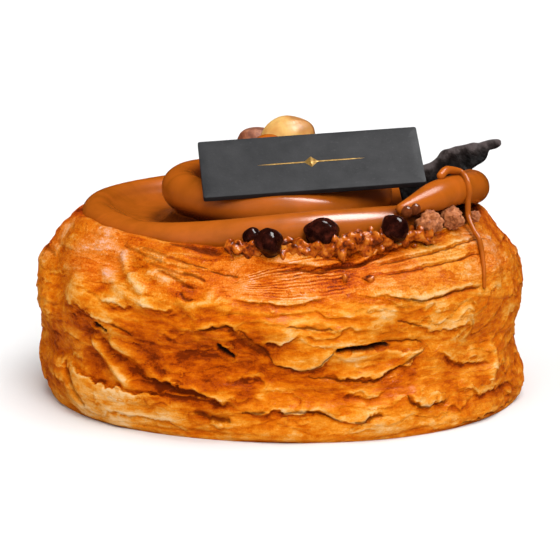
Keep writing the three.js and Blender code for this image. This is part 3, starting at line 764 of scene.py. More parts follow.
# Clouds that make strokes ragged, and clouds that swell the side, by height, size, seed and stretch
RAGGED = [(0.26, 2.6, 50), (0.16, 1.1, 51), (0.08, 0.55, 52)]
SWELLS = [(0.42, 7, 54, (1.5, 1.5, 1)), (0.13, 2.6, 55, (2, 2, 0.9))]
# How strong the CAD layers are at the front and at the back, then the wide sheets and the leaves
LAYERS_FRONT, LAYERS_BACK, SHEETS_PROUD, LEAVES_PROUD = 0.2, 0.5, 0.32, 0.09
# Shares of a stroke over which it tapers, and of the section over which all relief fades
TAPER, FOOT_FADE, RIM_FADE = 0.2, (0, 0.03), (0.86, 0.95)
# In millimetres: how far a stroke bends the flow and marks the crust, and the largest distance kept
FLOW_REACH, LIP_REACH, SLIT_REACH, CRACK_REACH, FARTHEST = 1.7, 1.8, 1.5, 1.2, 6.0
# How much paler the ridge of a fold is painted, as a painted highlight
FOLD_PAINTED_HIGHLIGHT = 0.14


def relief(along, angle):
    """How far the side stands proud, and marks by name: the layers' flow, a change of bake that holds
    painted highlight on the ridges of folds, and for lips, cracks and slits the signed distance of the
    nearest one with its strength."""
    base = pastry_point(along, angle, 0 * along)
    arc = np.radians((np.degrees(angle) + 270) % 360 - 270) * UNROLL_RADIUS
    climb = along * SECTION_LENGTH
    ragged = clouds(base, RAGGED) * lerp(1, 0.5, smoothstep(along, 0.5, 0.6))
    sway = 0.35 * cloud(base, 5, 53)
    hidden = smoothstep(np.sin(angle), -0.25, 0.2)
    proud = lerp(LAYERS_FRONT, LAYERS_BACK, hidden) * layered(along, angle) + clouds(base, SWELLS)
    for bearing, at, height in BULGES:
        aside = turn_from(np.degrees(angle), bearing)
        proud += height * bell(aside, BULGE_DEGREES) * bell(along - at, BULGE_SHARE)
    marks = {"flow": flow_of(base, climb), "bake": np.zeros(along.shape)}
    best = {}
    for kind in ("lip", "crack", "slit"):
        marks[kind] = np.full(along.shape, FARTHEST)
        marks[kind + "_strength"] = np.zeros(along.shape)
        best[kind] = np.full(along.shape, np.inf)

    def keep(kind, near, distance, strength, score):
        """Keeps a stroke's distance and strength wherever it is the nearest of its kind."""
        closer = score < best[kind][near]
        distance = np.clip(distance, -FARTHEST, FARTHEST)
        stores = (marks[kind], distance), (marks[kind + "_strength"], strength), (best[kind], score)
        for store, value in stores:
            store[near] = np.where(closer, value, store[near])

    for kind, size, width, path in strokes:
        reach = 7 * width + 3
        for turn in (0, 2 * np.pi * UNROLL_RADIUS, -2 * np.pi * UNROLL_RADIUS):
            shifted = arc + turn
            near = (shifted > path[:, 0].min() - reach) & (shifted < path[:, 0].max() + reach)
            near &= (climb > path[:, 1].min() - reach) & (climb < path[:, 1].max() + reach)
            if not near.any():
                continue
            d, share = beside(path, shifted[near], climb[near])
            taper = smoothstep(share, 0, TAPER) * smoothstep(1 - share, 0, TAPER)
            score = np.abs(d) + 1.5 * (1 - taper)
            if kind != "fold":
                pull = np.sqrt(taper) * bell(d, FLOW_REACH)
                sense = np.sign(path[-1, 0] - path[0, 0])
                marks["flow"][near] = lerp(marks["flow"][near], path[:, 1].mean() + sense * d, pull)
            if kind == "lip":
                d = d + ragged[near]
                proud[near] += lip_profile(d, size, width, taper)
                keep("lip", near, d, np.minimum(size, 1) * taper * bell(d, LIP_REACH), score)
            elif kind == "slit":
                d = d + 0.5 * ragged[near]
                half = width * np.sqrt(taper) + 1e-3
                proud[near] += slit_profile(d, size, width, taper, half)
                keep("slit", near, d / half, smoothstep(taper, 0, 0.3) * bell(d, SLIT_REACH), score)
            elif kind == "fold":
                ridge = taper * bell(d + 0.5 * sway[near], width)
                proud[near] += size * ridge
                # Painted highlight: the ridge of a fold is made paler
                marks["bake"][near] -= FOLD_PAINTED_HIGHLIGHT * ridge**2
            else:
                d = d + 0.6 * ragged[near]
                half = width * np.sqrt(taper) + 0.02
                proud[near] += groove_profile(d, size, width, taper)
                strength = (1.0 if kind == "crack" else 0.6) * smoothstep(taper, 0, 0.3)
                keep("crack", near, d / half, strength * bell(d, CRACK_REACH), score)
    # Lower at the far left and right, so that the outline stays near that of the solid
    proud *= lerp(1, 0.6, smoothstep(np.abs(np.cos(angle)), 0.9, 0.98))
    proud += SHEETS_PROUD * sheets(base, marks["flow"], WIDE_SHEET, 58)
    proud += LEAVES_PROUD * sheets(base, marks["flow"], LEAF, 59)
    fade = smoothstep(along, *FOOT_FADE) * (1 - smoothstep(along, *RIM_FADE))
    for kind in best:
        marks[kind + "_strength"] *= fade
    return proud * fade, marks


print("relief of", len(strokes), "strokes on", len(BULGES), "bulges")

# %% [markdown]
# ## The pastry as one closed surface
# Columns go round the pastry, closer together at the front, and rows go up the section. The relief
# moves every point square to the surface, and the marks become attributes that the crust finish reads.

# %% Build the pastry
FRONT_COLUMNS, BACK_COLUMNS, SIDE_ROWS, RIM_ROWS, RIM_FROM = 392, 208, 148, 12, 0.87
front = np.linspace(-np.pi, 0, FRONT_COLUMNS, endpoint=False)
back = np.linspace(0, np.pi, BACK_COLUMNS, endpoint=False)
side = np.linspace(0, RIM_FROM, SIDE_ROWS, endpoint=False)
rim = np.linspace(RIM_FROM, 1, RIM_ROWS)
angle, along = np.meshgrid(np.concatenate([front, back]), np.concatenate([side, rim]))
proud, marks = relief(along, angle)
grid = pastry_point(along, angle, proud)
grid[..., 2] = np.maximum(grid[..., 2], 0)
grid[0, :, 2] = 0
print("pastry grid", grid.shape)

# %% [markdown]
# An oven doesn't brown layers evenly. On top of the bake, the relief paints light and shade into the colour:
# raised edges are painted paler, as if lit, and hollows darker, as painted shade. The relief is compared with
# a slightly evened copy of itself to find edges and with a much evened one to find hollows. Some patches of
# the front are then
# made darker or paler: some for the bake, some as painted shade in the groove low at the left and under the
# cream at the left of the rim, and some as painted highlight.

# %% Bake of the crust
# Where the crust is darker or paler, for the bake and as painted shade and painted highlight: picture point,
# width in millimetres, change of bake
BAKE_AND_SHADE_SPOTS = [
    ((165, 387), 4, 0.28), ((140, 380), 4, 0.18), ((188, 392), 3.5, 0.18), ((128, 362), 8, 0.1),
    ((58, 243), 5, -0.2), ((88, 213), 2, 0.2), ((100, 219), 2, 0.15), ((66, 232), 5, -0.16),
    ((52, 240), 5, -0.12), ((112, 229), 5, -0.12), ((150, 340), 12, 0.08), ((95, 402), 7, -0.08),
    ((150, 412), 7, -0.06), ((100, 340), 9, 0.08), ((440, 278), 10, -0.14), ((408, 266), 7, -0.16),
    ((462, 256), 7, -0.1), ((207, 293), 3, -0.2), ((215, 307), 5, 0.16), ((187, 295), 2, 0.24),
    ((112, 285), 8, -0.14), ((170, 268), 8, -0.08), ((290, 384), 14, 0.08), ((196, 375), 7, 0.26),
    ((72, 395), 6, -0.12), ((118, 412), 10, -0.14), ((170, 425), 8, -0.08), ((380, 430), 6, -0.24),
    ((330, 427), 8, -0.08), ((448, 318), 5, -0.2), ((360, 362), 6, 0.06), ((425, 367), 6, 0.14),
    ((425, 394), 4, -0.22), ((250, 389), 5, -0.08), ((110, 405), 9, -0.14), ((310, 312), 8, -0.1),
    ((380, 310), 7, -0.1), ((355, 352), 5, -0.1), ((260, 428), 9, -0.04), ((170, 410), 8, -0.12),
    ((486, 358), 6, 0.14), ((75, 252), 9, -0.12), ((60, 330), 9, 0.06), ((190, 350), 10, 0.1),
    ((120, 335), 9, 0.06), ((192, 243), 2, 0.3), ((208, 247), 2, 0.3), ((226, 251), 2, 0.2),
    ((298, 321), 4, -0.18), ((341, 341), 4, -0.12), ((417, 341), 4, -0.22), ((350, 366), 3, -0.22),
    ((363, 396), 3.5, -0.12), ((388, 401), 4, 0.12), ((326, 408), 4, -0.22), ((392, 300), 4.5, -0.1),
    ((375, 287), 4.5, 0.24), ((472, 284), 4.5, -0.16), ((114, 260), 5, -0.3), ((150, 270), 6, 0.04),
    ((112, 312), 4, -0.14), ((157, 316), 6, -0.2), ((84, 366), 4, -0.2), ((128, 388), 5, -0.14),
    ((60, 272), 7, -0.1), ((258, 303), 7, -0.2), ((100, 285), 15, -0.06), ((85, 385), 12, 0.05),
    ((470, 350), 14, -0.03), ((497, 258), 7, -0.16), ((487, 240), 5, -0.12), ((508, 290), 6, -0.08),
    ((88, 297), 4.5, 0.2), ((206, 409), 4.5, -0.22), ((468, 331), 4, -0.16), ((240, 268), 4, -0.28),
    ((385, 346), 4.5, -0.16), ((212, 391), 3.5, 0.24), ((86, 350), 3.5, 0.18),
]
BAKE_MIDDLE, BAKE_UNEVEN, EDGE_PAINTED_LIGHT, HOLLOW_PAINTED_SHADE = 0.63, 0.04, 0.13, 0.14
SHOULDER_DARKER, FOOT_PALER = 0.06, 0.08
# Shares of the section over which the bake of the shoulder and the foot and the shoulder's blush change
SHOULDER_FROM, FOOT_TO, BLUSH_FROM, BLUSH_TO = (0.55, 0.68), (0.02, 0.2), (0.58, 0.68), (0.86, 0.92)
EDGE_HEIGHT, HOLLOW_DEPTH, EDGE_ROUNDS, HOLLOW_ROUNDS = 0.35, 0.5, 14, 150


def evened(values, rounds):
    """Averages each value with its neighbours, round the pastry and up it, so many times."""
    for k in range(rounds):
        values = (np.roll(values, 1, 1) + np.roll(values, -1, 1) + 2 * values) / 4
        below = np.concatenate([values[:1], values[:-1]])
        above = np.concatenate([values[1:], values[-1:]])
        values = (below + above + 2 * values) / 4
    return values


near, far = evened(proud, EDGE_ROUNDS), evened(proud, HOLLOW_ROUNDS)
edge = np.clip((proud - near) / EDGE_HEIGHT, -1, 1)
hollow = np.clip((far - near) / HOLLOW_DEPTH, -1, 1)
# Painted light: raised edges are made paler and hollows darker, as if lit and shaded
bake = BAKE_MIDDLE - EDGE_PAINTED_LIGHT * edge + HOLLOW_PAINTED_SHADE * hollow + marks["bake"]
bake += BAKE_UNEVEN * cloud(grid, 9, 61)
bake += SHOULDER_DARKER * smoothstep(along, *SHOULDER_FROM)
bake -= FOOT_PALER * (1 - smoothstep(along, *FOOT_TO))
# Some of these spots are painted shade and some painted highlight
for pixel, width, amount in BAKE_AND_SHADE_SPOTS:
    at_angle, at_along = on_pastry([pixel])
    spot = pastry_point(at_along, at_angle, 0 * at_along)[0]
    bake += amount * bell(np.linalg.norm(grid - spot, axis=-1), width)
marks["bake"] = bake
on_slope = smoothstep(along, *BLUSH_FROM) * (1 - smoothstep(along, *BLUSH_TO))
marks["blush"] = np.clip(on_slope * (0.6 + 0.35 * cloud(grid, 8, 63)), 0, 1)
marks["flow"] = marks["flow"] * MM
print("bake from", bake.min().round(2), "to", bake.max().round(2))

# %% [markdown]
# In the middle of the shoulder a dozen thin laminations fan out from the left. They are one family of
# curves, so a single mark that counts them from top to bottom is enough: the finish draws a line
# wherever the count passes a whole number.

# %% The fan of laminations
# Picture points: curves along the top and the bottom of the fan, and where its left and right ends fade
FAN_LINES = 11
FAN_LEFT, FAN_RIGHT, FAN_REACH = (236, 254), (336, 360), (220, 370)
FAN_TOP = np.polyfit([248, 292, 350], [275, 264, 256], 2)
FAN_BOTTOM = np.polyfit([236, 292, 354], [297, 299, 294], 2)
x, y = np.moveaxis(in_picture(pastry_point(along, angle, 0 * along)), -1, 0)
x = np.clip(x, *FAN_REACH)
count = FAN_LINES * (y - np.polyval(FAN_TOP, x)) / (np.polyval(FAN_BOTTOM, x) - np.polyval(FAN_TOP, x))
marks["fan"] = np.clip(count, -2, FAN_LINES + 2)
within = smoothstep(count, -0.6, 0.2) * (1 - smoothstep(count, FAN_LINES - 0.2, FAN_LINES + 0.6))
within *= np.sin(angle) < -0.5
marks["fan_strength"] = within * smoothstep(x, *FAN_LEFT) * (1 - smoothstep(x, *FAN_RIGHT))
marks = {name: np.concatenate([values.ravel(), [values[0].mean(), values[-1].mean()]])
         for name, values in marks.items()}
print("marks:", ", ".join(marks))

# %% [markdown]
# ## Browned crust
# Baked lamination runs from straw through gold and orange to brown, and its sheets are smooth and
# glossy with butter. The finish adds up one tone from the mark of bake and painted light, some noises and the
# strokes, and a ramp turns the tone into a colour. A painted texture would have to be drawn again for each
# change of the mesh. The noises come first, from wide patches down to a fine grain.

# %% Noises of the crust
# Heights in metres between which the wall turns into the shoulder, for torn edges and for fine leaves
EDGE_SHOULDER, LEAF_SHOULDER = (0.026, 0.031), (0.025, 0.031)
crust = Finish("browned_crust", Specular_IOR_Level=0.02, Coat_Roughness=0.16)
layers = crust.node("ShaderNodeCombineXYZ", {0: crust.axis(0), 1: crust.axis(1), 2: crust.attribute("flow")})
patches = crust.noise(4.5, stretch=(1.7, 1.7, 0.7), detail=6, roughness=0.6)
scraps = crust.noise(2.0, stretch=(1.8, 1.8, 0.6), detail=5, roughness=0.6)
mottle = crust.noise(1.1, stretch=(1.6, 1.6, 0.8), detail=4, roughness=0.6)
streaks = crust.noise(0.9, stretch=(2.2, 2.2, 0.7), detail=3, within=layers.outputs[0])
grain = crust.noise(0.3, detail=2, roughness=0.6)
tear = crust.spread(crust.noise(0.6, detail=3), 0.25, 0.75, -1, 1)
ragged_by = crust.spread(crust.axis(2), *EDGE_SHOULDER, 0.14, 0.06)
on_shoulder = crust.spread(crust.axis(2), *LEAF_SHOULDER, 1, 2.6)
print("crust so far:", len(crust.tree.nodes), "shader nodes")

# %% [markdown]
# The flow mark counts leaves of dough one above another. A leaf is pale at its torn lower edge, and painted
# shade darkens it just under the edge of the next one. A noise that is picked by the number of the leaf makes
# some of them strong and some faint, so that they don't look ruled.

# %% Leaves of the crust
def leaf_edges(spacing, ragged, seed):
    """Counts leaves along the flow. Returns the share within a leaf, a number for each and a strength."""
    torn = crust.spread(crust.noise(1.3, stretch=(1.6, 1.6, 1), detail=4), 0.2, 0.8, -ragged, ragged)
    place = crust.sums(crust.times(crust.attribute("flow"), 1 / (spacing * MM)), torn)
    share = crust.sums(place, 0.0, "FRACT")
    number = crust.times(crust.sums(place, 0.0, "FLOOR"), seed)
    strength = crust.spread(crust.noise(2.4, stretch=(2, 2, 0.8), detail=2, pick=number), 0.46, 0.64)
    return share, number, strength


def leaf_tone(share, strength, pale, painted_shade):
    """Pale at the torn lower edge of a leaf, with painted shade just under the edge of the next one."""
    lower = crust.spread(share, 0.02, 0.3, -pale, 0)
    shade_under_edge = crust.spread(share, 0.84, 1.0, 0, painted_shade)
    return crust.times(crust.sums(lower, shade_under_edge), strength)


sheet_share, sheet_number, sheet_strength = leaf_edges(WIDE_SHEET, 0.35, 3.7)
leaf_share, _, leaf_strength = leaf_edges(LEAF, 0.5, 5.3)
print("crust so far:", len(crust.tree.nodes), "shader nodes")

# %% [markdown]
# Cutting off a distance draws a crisp band beside a stroke: a pale torn edge just above a lip, which is
# partly painted highlight, and painted shade under it, or the painted dark core of a crack or a slit. In the
# fan a line lies at each whole number of the count and a pale ridge half way between two lines.

# %% Strokes of the crust
lip = crust.sums(crust.attribute("lip"), crust.times(tear, ragged_by))
lip_strength = crust.attribute("lip_strength")
# A pale band over each lip, partly painted highlight, and painted shade under it
lip_edge_and_highlight = crust.times(crust.spread(lip, 0.14, 0.34), crust.spread(lip, 0.3, 1.2, 1, 0), lip_strength)
lip_shade = crust.times(crust.spread(lip, 0.2, 0.02), crust.spread(lip, -0.1, -1.5, 1, 0), lip_strength)
crack_side = crust.sums(crust.sums(crust.attribute("crack"), crust.times(tear, 0.35)), 0.0, "ABSOLUTE")
cracks = crust.times(crust.spread(crack_side, 0.3, 0.95, 1, 0), crust.attribute("crack_strength"))
slit_side = crust.sums(crust.attribute("slit"), 0.0, "ABSOLUTE")
slits = crust.times(crust.spread(slit_side, 0.8, 1.2, 1, 0), crust.attribute("slit_strength"))

fan = crust.sums(crust.attribute("fan"), crust.spread(crust.noise(2.2, detail=2), 0.25, 0.75, -0.3, 0.3))
fan_number = crust.times(crust.sums(crust.sums(fan, 0.5), 0.0, "FLOOR"), 2.3)
fan_share = crust.sums(crust.sums(crust.sums(fan, 0.0, "FRACT"), -0.5), 0.0, "ABSOLUTE")
fan_there = crust.spread(crust.noise(5, stretch=(1.6, 1.6, 1), detail=2, pick=fan_number), 0.4, 0.55, 0.25, 1)
fan_there = crust.times(fan_there, crust.attribute("fan_strength"))
fan_lines = crust.times(crust.spread(fan_share, 0.24, 0.42), fan_there)
fan_ridges = crust.times(crust.spread(fan_share, 0.05, 0.24, 1, 0), fan_there)
print("crust so far:", len(crust.tree.nodes), "shader nodes")

# %% [markdown]
# Now all changes of tone are added up: a positive one darkens. The ramp gives the colour and the slope of
# the shoulder is a little redder. Painted shade in cracks and slits is laid over it, dark red and nearly
# black.

# %% Colour of the crust
tone = crust.attribute("bake")
for change in (
    crust.spread(patches, 0.44, 0.56, -0.11, 0.05),
    crust.spread(scraps, 0.44, 0.56, -0.09, 0.05),
    crust.spread(mottle, 0.25, 0.75, -0.12, 0.1),
    crust.spread(streaks, 0.3, 0.7, -0.06, 0.06),
    crust.times(crust.spread(grain, 0.25, 0.75, -0.08, 0.08), on_shoulder),
    crust.spread(crust.noise(5, stretch=(2, 2, 1), detail=2, pick=sheet_number), 0.3, 0.7, -0.12, 0.12),
    leaf_tone(sheet_share, sheet_strength, 0.12, 0.18),
    crust.times(leaf_tone(leaf_share, leaf_strength, 0.05, 0.09), on_shoulder),
    crust.times(lip_shade, 0.22),
    crust.times(lip_edge_and_highlight, -0.23),
    crust.times(fan_lines, 0.3),
    crust.times(fan_ridges, -0.16),
):
    tone = crust.sums(tone, change)
STRAW_TO_BROWN = [
    (0.0, (0.64, 0.38, 0.165)),
    (0.18, (0.61, 0.28, 0.06)),
    (0.36, (0.58, 0.19, 0.010)),
    (0.54, (0.49, 0.110, 0.0014)),
    (0.74, (0.37, 0.059, 0.0004)),
    (0.9, (0.24, 0.030, 0.0003)),
    (1.0, (0.13, 0.015, 0.0003)),
]
# Painted shade in the depths of cracks and slits, and the red of the shoulder's slope
CRACK_SHADE_RED, SLIT_SHADE_BLACK, BLUSH = (0.085, 0.013, 0.0012), (0.022, 0.008, 0.004), (1.0, 0.8, 1.6)
browned = crust.ramp(tone, STRAW_TO_BROWN)
browned = crust.mix(crust.spread(crust.attribute("blush"), 0, 1, 0, 0.7), browned, BLUSH, "MULTIPLY")
browned = crust.mix(crust.times(cracks, 0.72), browned, CRACK_SHADE_RED)
crust.colour(crust.mix(slits, browned, SLIT_SHADE_BLACK))
print("crust ramp of", len(STRAW_TO_BROWN), "colours")

# %% [markdown]
# Butter leaves a broken gloss on the sheets, which cracks and slits lack. The bump repeats leaves, lips
# and furrows at a scale that is finer than the mesh.

# %% Gloss and bump of the crust, and the piece
sheet_skin = crust.sums(1.0, crust.sums(cracks, slits, "MAXIMUM"), "SUBTRACT")
buttered = crust.spread(crust.noise(1.7, detail=2), 0.48, 0.66, 0.08, 1)
crust.gloss(0.18, 0.01, crust.times(sheet_skin, buttered))
crust.roughness(crust.spread(patches, 0.3, 0.7, 0.38, 0.58))
sheet_lift = crust.times(crust.sums(1.0, sheet_share, "SUBTRACT"), sheet_strength)
leaf_lift = crust.times(crust.sums(1.0, leaf_share, "SUBTRACT"), leaf_strength, on_shoulder)
lip_lift = crust.times(crust.spread(lip, -0.08, 0.08), lip_strength)
furrow = crust.sums(cracks, crust.times(fan_lines, 0.7), "MAXIMUM")
crust.bump(
    (sheet_lift, 0.22),
    (leaf_lift, 0.1),
    (lip_lift, 0.2),
    (furrow, -0.12),
    (scraps, 0.15),
    (mottle, 0.12),
    (streaks, 0.06),
    (crust.times(grain, on_shoulder), 0.075),
)
pastry_shell = round_shell(grid, [0, 0, 0], [0, 0, WELL_HEIGHT])
add_piece("pastry_crust", *pastry_shell, crust, "crust", ["pastry"], marks)

# %% [markdown]
# ## Piped cream
# The rope of cream was piped from a bag: one ring round the rim, then a crossing and two turns of a
# mound. Its middle is a path with a thickness at each place, and both have the values of the CAD source.

# %% Path of the rope
# Lengths in millimetres and turns in degrees; each dip of the ring is an angle, a depth and a width
ROPE_START, RING_TURN, CROSSING_TURN, MOUND_TURN = -54.5, 326.5, 230, 720
RING_RADII, RING_HEIGHT, RING_RISE, RING_RISE_ANGLE = (41.8, 38.0), 40.9, 1.4, 20
RING_DIPS = [(-138, 2.6, 36), (128, 2.0, 50), (45, 3.0, 22)]
RING_THICKNESS, RING_THICKER, MOUND_THICKNESS = 3.8, 0.45, 4.3
MOUND_RADIUS, MOUND_PITCH, MOUND_HEIGHT, MOUND_CLIMB = 23.5, 9.2, 41.6, 4.4
MOUND_TILT, MOUND_TILT_ANGLE, MOUND_CENTRE = 2.2, 150, np.array([1.5, -4.0, 0.0])
TIP_LIFT, TIP_LIFT_TURN, TIP_LIFT_WIDTH, TIP_THINNER = 4.2, 21, 32, 1.0
TIP_END, TIP_TAPER = 0.2, (-8, 16)
CROSSING_DIP, CROSSING_DIP_TURN, CROSSING_DIP_WIDTH = 3.4, 412, 46
ROPE_LENGTH_TURN = RING_TURN + CROSSING_TURN + MOUND_TURN


def around(radius, degrees, height):
    """Points at a radius, an angle in degrees and a height."""
    angle = np.radians(degrees)
    return np.stack(np.broadcast_arrays(radius * np.cos(angle), radius * np.sin(angle), height), -1)


def rope_at(turned):
    """Centre and thickness of the rope after so many degrees of turn: a ring that goes over smoothly
    into a mound, whose radius shrinks and whose height grows with each turn."""
    turned = np.asarray(turned, float)
    degrees = ROPE_START + turned
    inward = smoothstep(turned, RING_TURN, RING_TURN + CROSSING_TURN)
    climbed = (turned - RING_TURN - CROSSING_TURN) / 360
    mound = MOUND_RADIUS - MOUND_PITCH * np.maximum(0, climbed)
    to_rise = np.cos(np.radians(degrees - RING_RISE_ANGLE))
    tilt = MOUND_TILT * np.cos(np.radians(degrees - MOUND_TILT_ANGLE)) * mound / MOUND_RADIUS
    dip = sum(depth * bell(turn_from(degrees, at), width) for at, depth, width in RING_DIPS)
    ring_height = RING_HEIGHT + RING_RISE * to_rise - dip
    near_tip = bell(turned - TIP_LIFT_TURN, TIP_LIFT_WIDTH)
    sunk = bell(turned - CROSSING_DIP_TURN, CROSSING_DIP_WIDTH)
    height = lerp(ring_height, MOUND_HEIGHT + MOUND_CLIMB * climbed + tilt, inward)
    height = height + TIP_LIFT * near_tip - CROSSING_DIP * sunk
    tip = lerp(TIP_END, 1, smoothstep(turned, *TIP_TAPER))
    ring_thickness = RING_THICKNESS + RING_THICKER * to_rise - TIP_THINNER * np.sqrt(near_tip)
    thickness = tip * lerp(ring_thickness, MOUND_THICKNESS, inward)
    centre = around(lerp(lerp(*RING_RADII, turned / RING_TURN), mound, inward), degrees, height)
    return centre + MOUND_CENTRE * inward[..., None], thickness


print("rope of", ROPE_LENGTH_TURN, "degrees")

# %% [markdown]
# A round profile carried along the path gives the rope. Inside the ring lies more cream, a core that is
# an outline turned about the axis and banked up at the left.

# %% The rope and its core
def tube(centre, thickness, sides, never=(0, 0, 1)):
    """A round profile carried along a path, closed by a half ball at each end. It is turned by a direction
    that the path never takes."""
    ahead = np.gradient(centre, axis=0)
    ahead /= np.linalg.norm(ahead, axis=1, keepdims=True)
    cap = np.sin(np.linspace(0, np.pi / 2, 7))[1:-1]
    first = centre[0] - ahead[0] * thickness[0] * cap[::-1, None]
    last = centre[-1] + ahead[-1] * thickness[-1] * cap[:, None]
    shrink = np.sqrt(1 - cap**2)
    path = np.concatenate([first, centre, last])
    radius = np.concatenate([thickness[0] * shrink[::-1], thickness, thickness[-1] * shrink])
    ahead = np.concatenate([np.repeat(ahead[:1], len(cap), 0), ahead, np.repeat(ahead[-1:], len(cap), 0)])
    across = np.cross(ahead, never)
    across /= np.linalg.norm(across, axis=1, keepdims=True)
    rise = np.cross(across, ahead)
    turn = np.linspace(0, 2 * np.pi, sides, endpoint=False)[None, :, None]
    skin = across[:, None] * np.cos(turn) + rise[:, None] * np.sin(turn)
    grid = path[:, None] + radius[:, None, None] * skin
    poles = centre[0] - ahead[0] * thickness[0], centre[-1] + ahead[-1] * thickness[-1]
    return grid, *poles


def turned_about(outline, columns):
    """Turns an outline of (radius, height) about the axis."""
    outline = np.asarray(outline, float)
    turn = np.linspace(0, 2 * np.pi, columns, endpoint=False)
    x, y = outline[:, :1] * np.cos(turn), outline[:, :1] * np.sin(turn)
    return np.stack([x, y, np.broadcast_to(outline[:, 1:], x.shape)], -1)


ROPE_POINTS, ROPE_SIDES, CORE_COLUMNS = 1100, 36, 96
BANK_LIFT, BANK_ANGLE, BANK_WIDTH = 2.4, 186, 52
turned = np.linspace(0, ROPE_LENGTH_TURN, ROPE_POINTS)
centre, thickness = rope_at(turned)
uneven = 1 + 0.022 * np.sin(turned / 17) + 0.02 * np.sin(turned / 41 + 1) + 0.012 * np.sin(turned / 7.3)
rope = facing_out(*round_shell(*tube(centre, thickness * uneven, ROPE_SIDES)))

core_outline = [
    (RING_RADII[1], WELL_HEIGHT + 0.5),
    (RING_RADII[1], RING_HEIGHT - 2),
    (RING_RADII[1] - 5, WELL_HEIGHT + 1.8),
    (MOUND_RADIUS + 2, WELL_HEIGHT + 1.6),
    (MOUND_RADIUS - 6, MOUND_HEIGHT + 2),
    (MOUND_RADIUS - 13, MOUND_HEIGHT + 6.6),
]
core_grid = turned_about(core_outline, CORE_COLUMNS)
core_bearing = np.linspace(0, 360, CORE_COLUMNS, endpoint=False)
bank = bell(turn_from(core_bearing, BANK_ANGLE), BANK_WIDTH)
core_grid[1, :, 2] += BANK_LIFT * bank
core_grid[2, :, 2] += 0.5 * BANK_LIFT * bank
core = facing_out(*round_shell(core_grid, [0, 0, WELL_HEIGHT + 0.5], [0, 0, MOUND_HEIGHT + 8]))
print("rope of", len(rope[0]), "points, core of", len(core[0]))

# %% [markdown]
# Gianduja cream is smooth and glossy, a warm milk-chocolate brown, with shade painted darker into the creases
# between turns. Its skin has dried a little towards the tip at the right, so the gloss is weaker there. Faint
# mottling and a very shallow bump keep the long highlights from looking like plastic. A voxel remesh
# welds rope and core into one skin, and leaves the sharp creases that piped turns have.

# %% Cream finish and piece
# In metres to the right of the middle: where the skin starts to be dry, and where it is dry
DRY_SKIN = (0.021, 0.029)
CREASE_SHADE_BROWN = (0.07, 0.012, 0.002)
cream = Finish("hazelnut_cream", Specular_IOR_Level=0.04, Coat_Roughness=0.26)
cream.gloss(0.9, 0.03, cream.spread(cream.axis(0), *DRY_SKIN, 1, 0.3))
swirl = cream.noise(7, detail=3, distortion=0.8)
cream_brown = cream.ramp(swirl, [(0.3, (0.28, 0.064, 0.003)), (0.7, (0.385, 0.085, 0.006))])
# Painted shade: the cream is darker where creases close it in
cream.colour(cream.mix(cream.openness(6), CREASE_SHADE_BROWN, cream_brown))
cream.roughness(cream.spread(cream.noise(2.5), 0.3, 0.7, 0.2, 0.27))
cream.bump((cream.noise(4.5, detail=1), 0.02), (cream.noise(0.6, detail=1), 0.0012))


def weld(piece, size, rounds):
    """Joins the shells of a piece into one skin of small cells and smooths it so many rounds."""
    remesh = piece.modifiers.new("weld", "REMESH")
    remesh.mode = "VOXEL"
    remesh.voxel_size = size * MM
    remesh.use_smooth_shade = True
    soften = piece.modifiers.new("soften", "SMOOTH")
    soften.factor = 0.5
    soften.iterations = rounds
    print(piece.name, "welded at", size, "mm")


weld(add_piece("piped_cream", *joined([rope, core]), cream, "cream", ["hazelnut_cream"]), 0.5, 8)

# %% [markdown]
# ## Drizzle
# A thin thread of the same cream runs along the top of the ring, over its edge and down the shoulder.
# It is a tube along a path whose first points lie on the rope. Below the edge it hangs free for a short
# way, and its last points lie on the relief of the pastry.

# %% The drizzle
DRIZZLE_RADIUS, DRIZZLE_POINTS, DRIZZLE_SIDES = 0.78, 160, 14
# On the rope: bearing in degrees, lean from 90 on top to 0 at its outer side, clearance in millimetres
DRIZZLE_OVER = [(-37.5, 95, 0.7), (-34.5, 95, 1.4), (-31, 91, 1.0), (-28.9, 77, 0.6), (-29.4, 54, 0.45),
                (-30.2, 28, 0.35), (-30.4, 2, 0.35), (-30, -32, 0.5), (-30, -56, 2.4)]
# On the shoulder: picture points, then the clearance of each
DRIZZLE_FALL = [(463.5, 231), (467, 239), (471, 247.5), (476, 257), (479.5, 266), (482, 277), (484, 288)]
DRIZZLE_CLEAR = np.array([2.0, 1.5, 0.9, 0.6, 0.45, 0.35, 0.3])

bearing, lean, clear = np.array(DRIZZLE_OVER, float).T
lean = np.radians(lean)
ring, ring_thickness = rope_at(bearing - ROPE_START)
reach = ring_thickness + clear
ring_radius = np.hypot(ring[:, 0], ring[:, 1])
over = around(ring_radius + reach * np.cos(lean), bearing, ring[:, 2] + reach * np.sin(lean))
fall_angle, fall = on_pastry(DRIZZLE_FALL)
down = pastry_point(fall, fall_angle, relief(fall, fall_angle)[0] + DRIZZLE_CLEAR)
thread = spline(np.concatenate([over, down]), DRIZZLE_POINTS)
swelling = 1 + 0.06 * np.sin(np.arange(DRIZZLE_POINTS) / 9)
thread_thickness = DRIZZLE_RADIUS * np.linspace(1.1, 0.5, DRIZZLE_POINTS) * swelling
thread_shell = round_shell(*tube(thread, thread_thickness, DRIZZLE_SIDES, never=(0, 1, 0)))
add_piece("drizzle", *thread_shell, cream, "cream")

# %% [markdown]
# Two drops of dark chocolate sit on the rope's tip. They are balls partly sunk in the cream, with the
# gloss of melted chocolate. The same unit ball will serve for crumbs, nut lumps and pearls: each is
# that list of points, moved in numpy before it gets its faces.

# %% Dark drops
DROP_RADIUS, DROP_ROWS, DROP_COLUMNS = 1.25, 24, 36
# Degrees along the rope, how far out as a share of its thickness, and how far down in millimetres
DROP_TURNS, DROP_OUT, DROP_DOWN = np.array([0.8, 3.4]), 0.72, 0.5


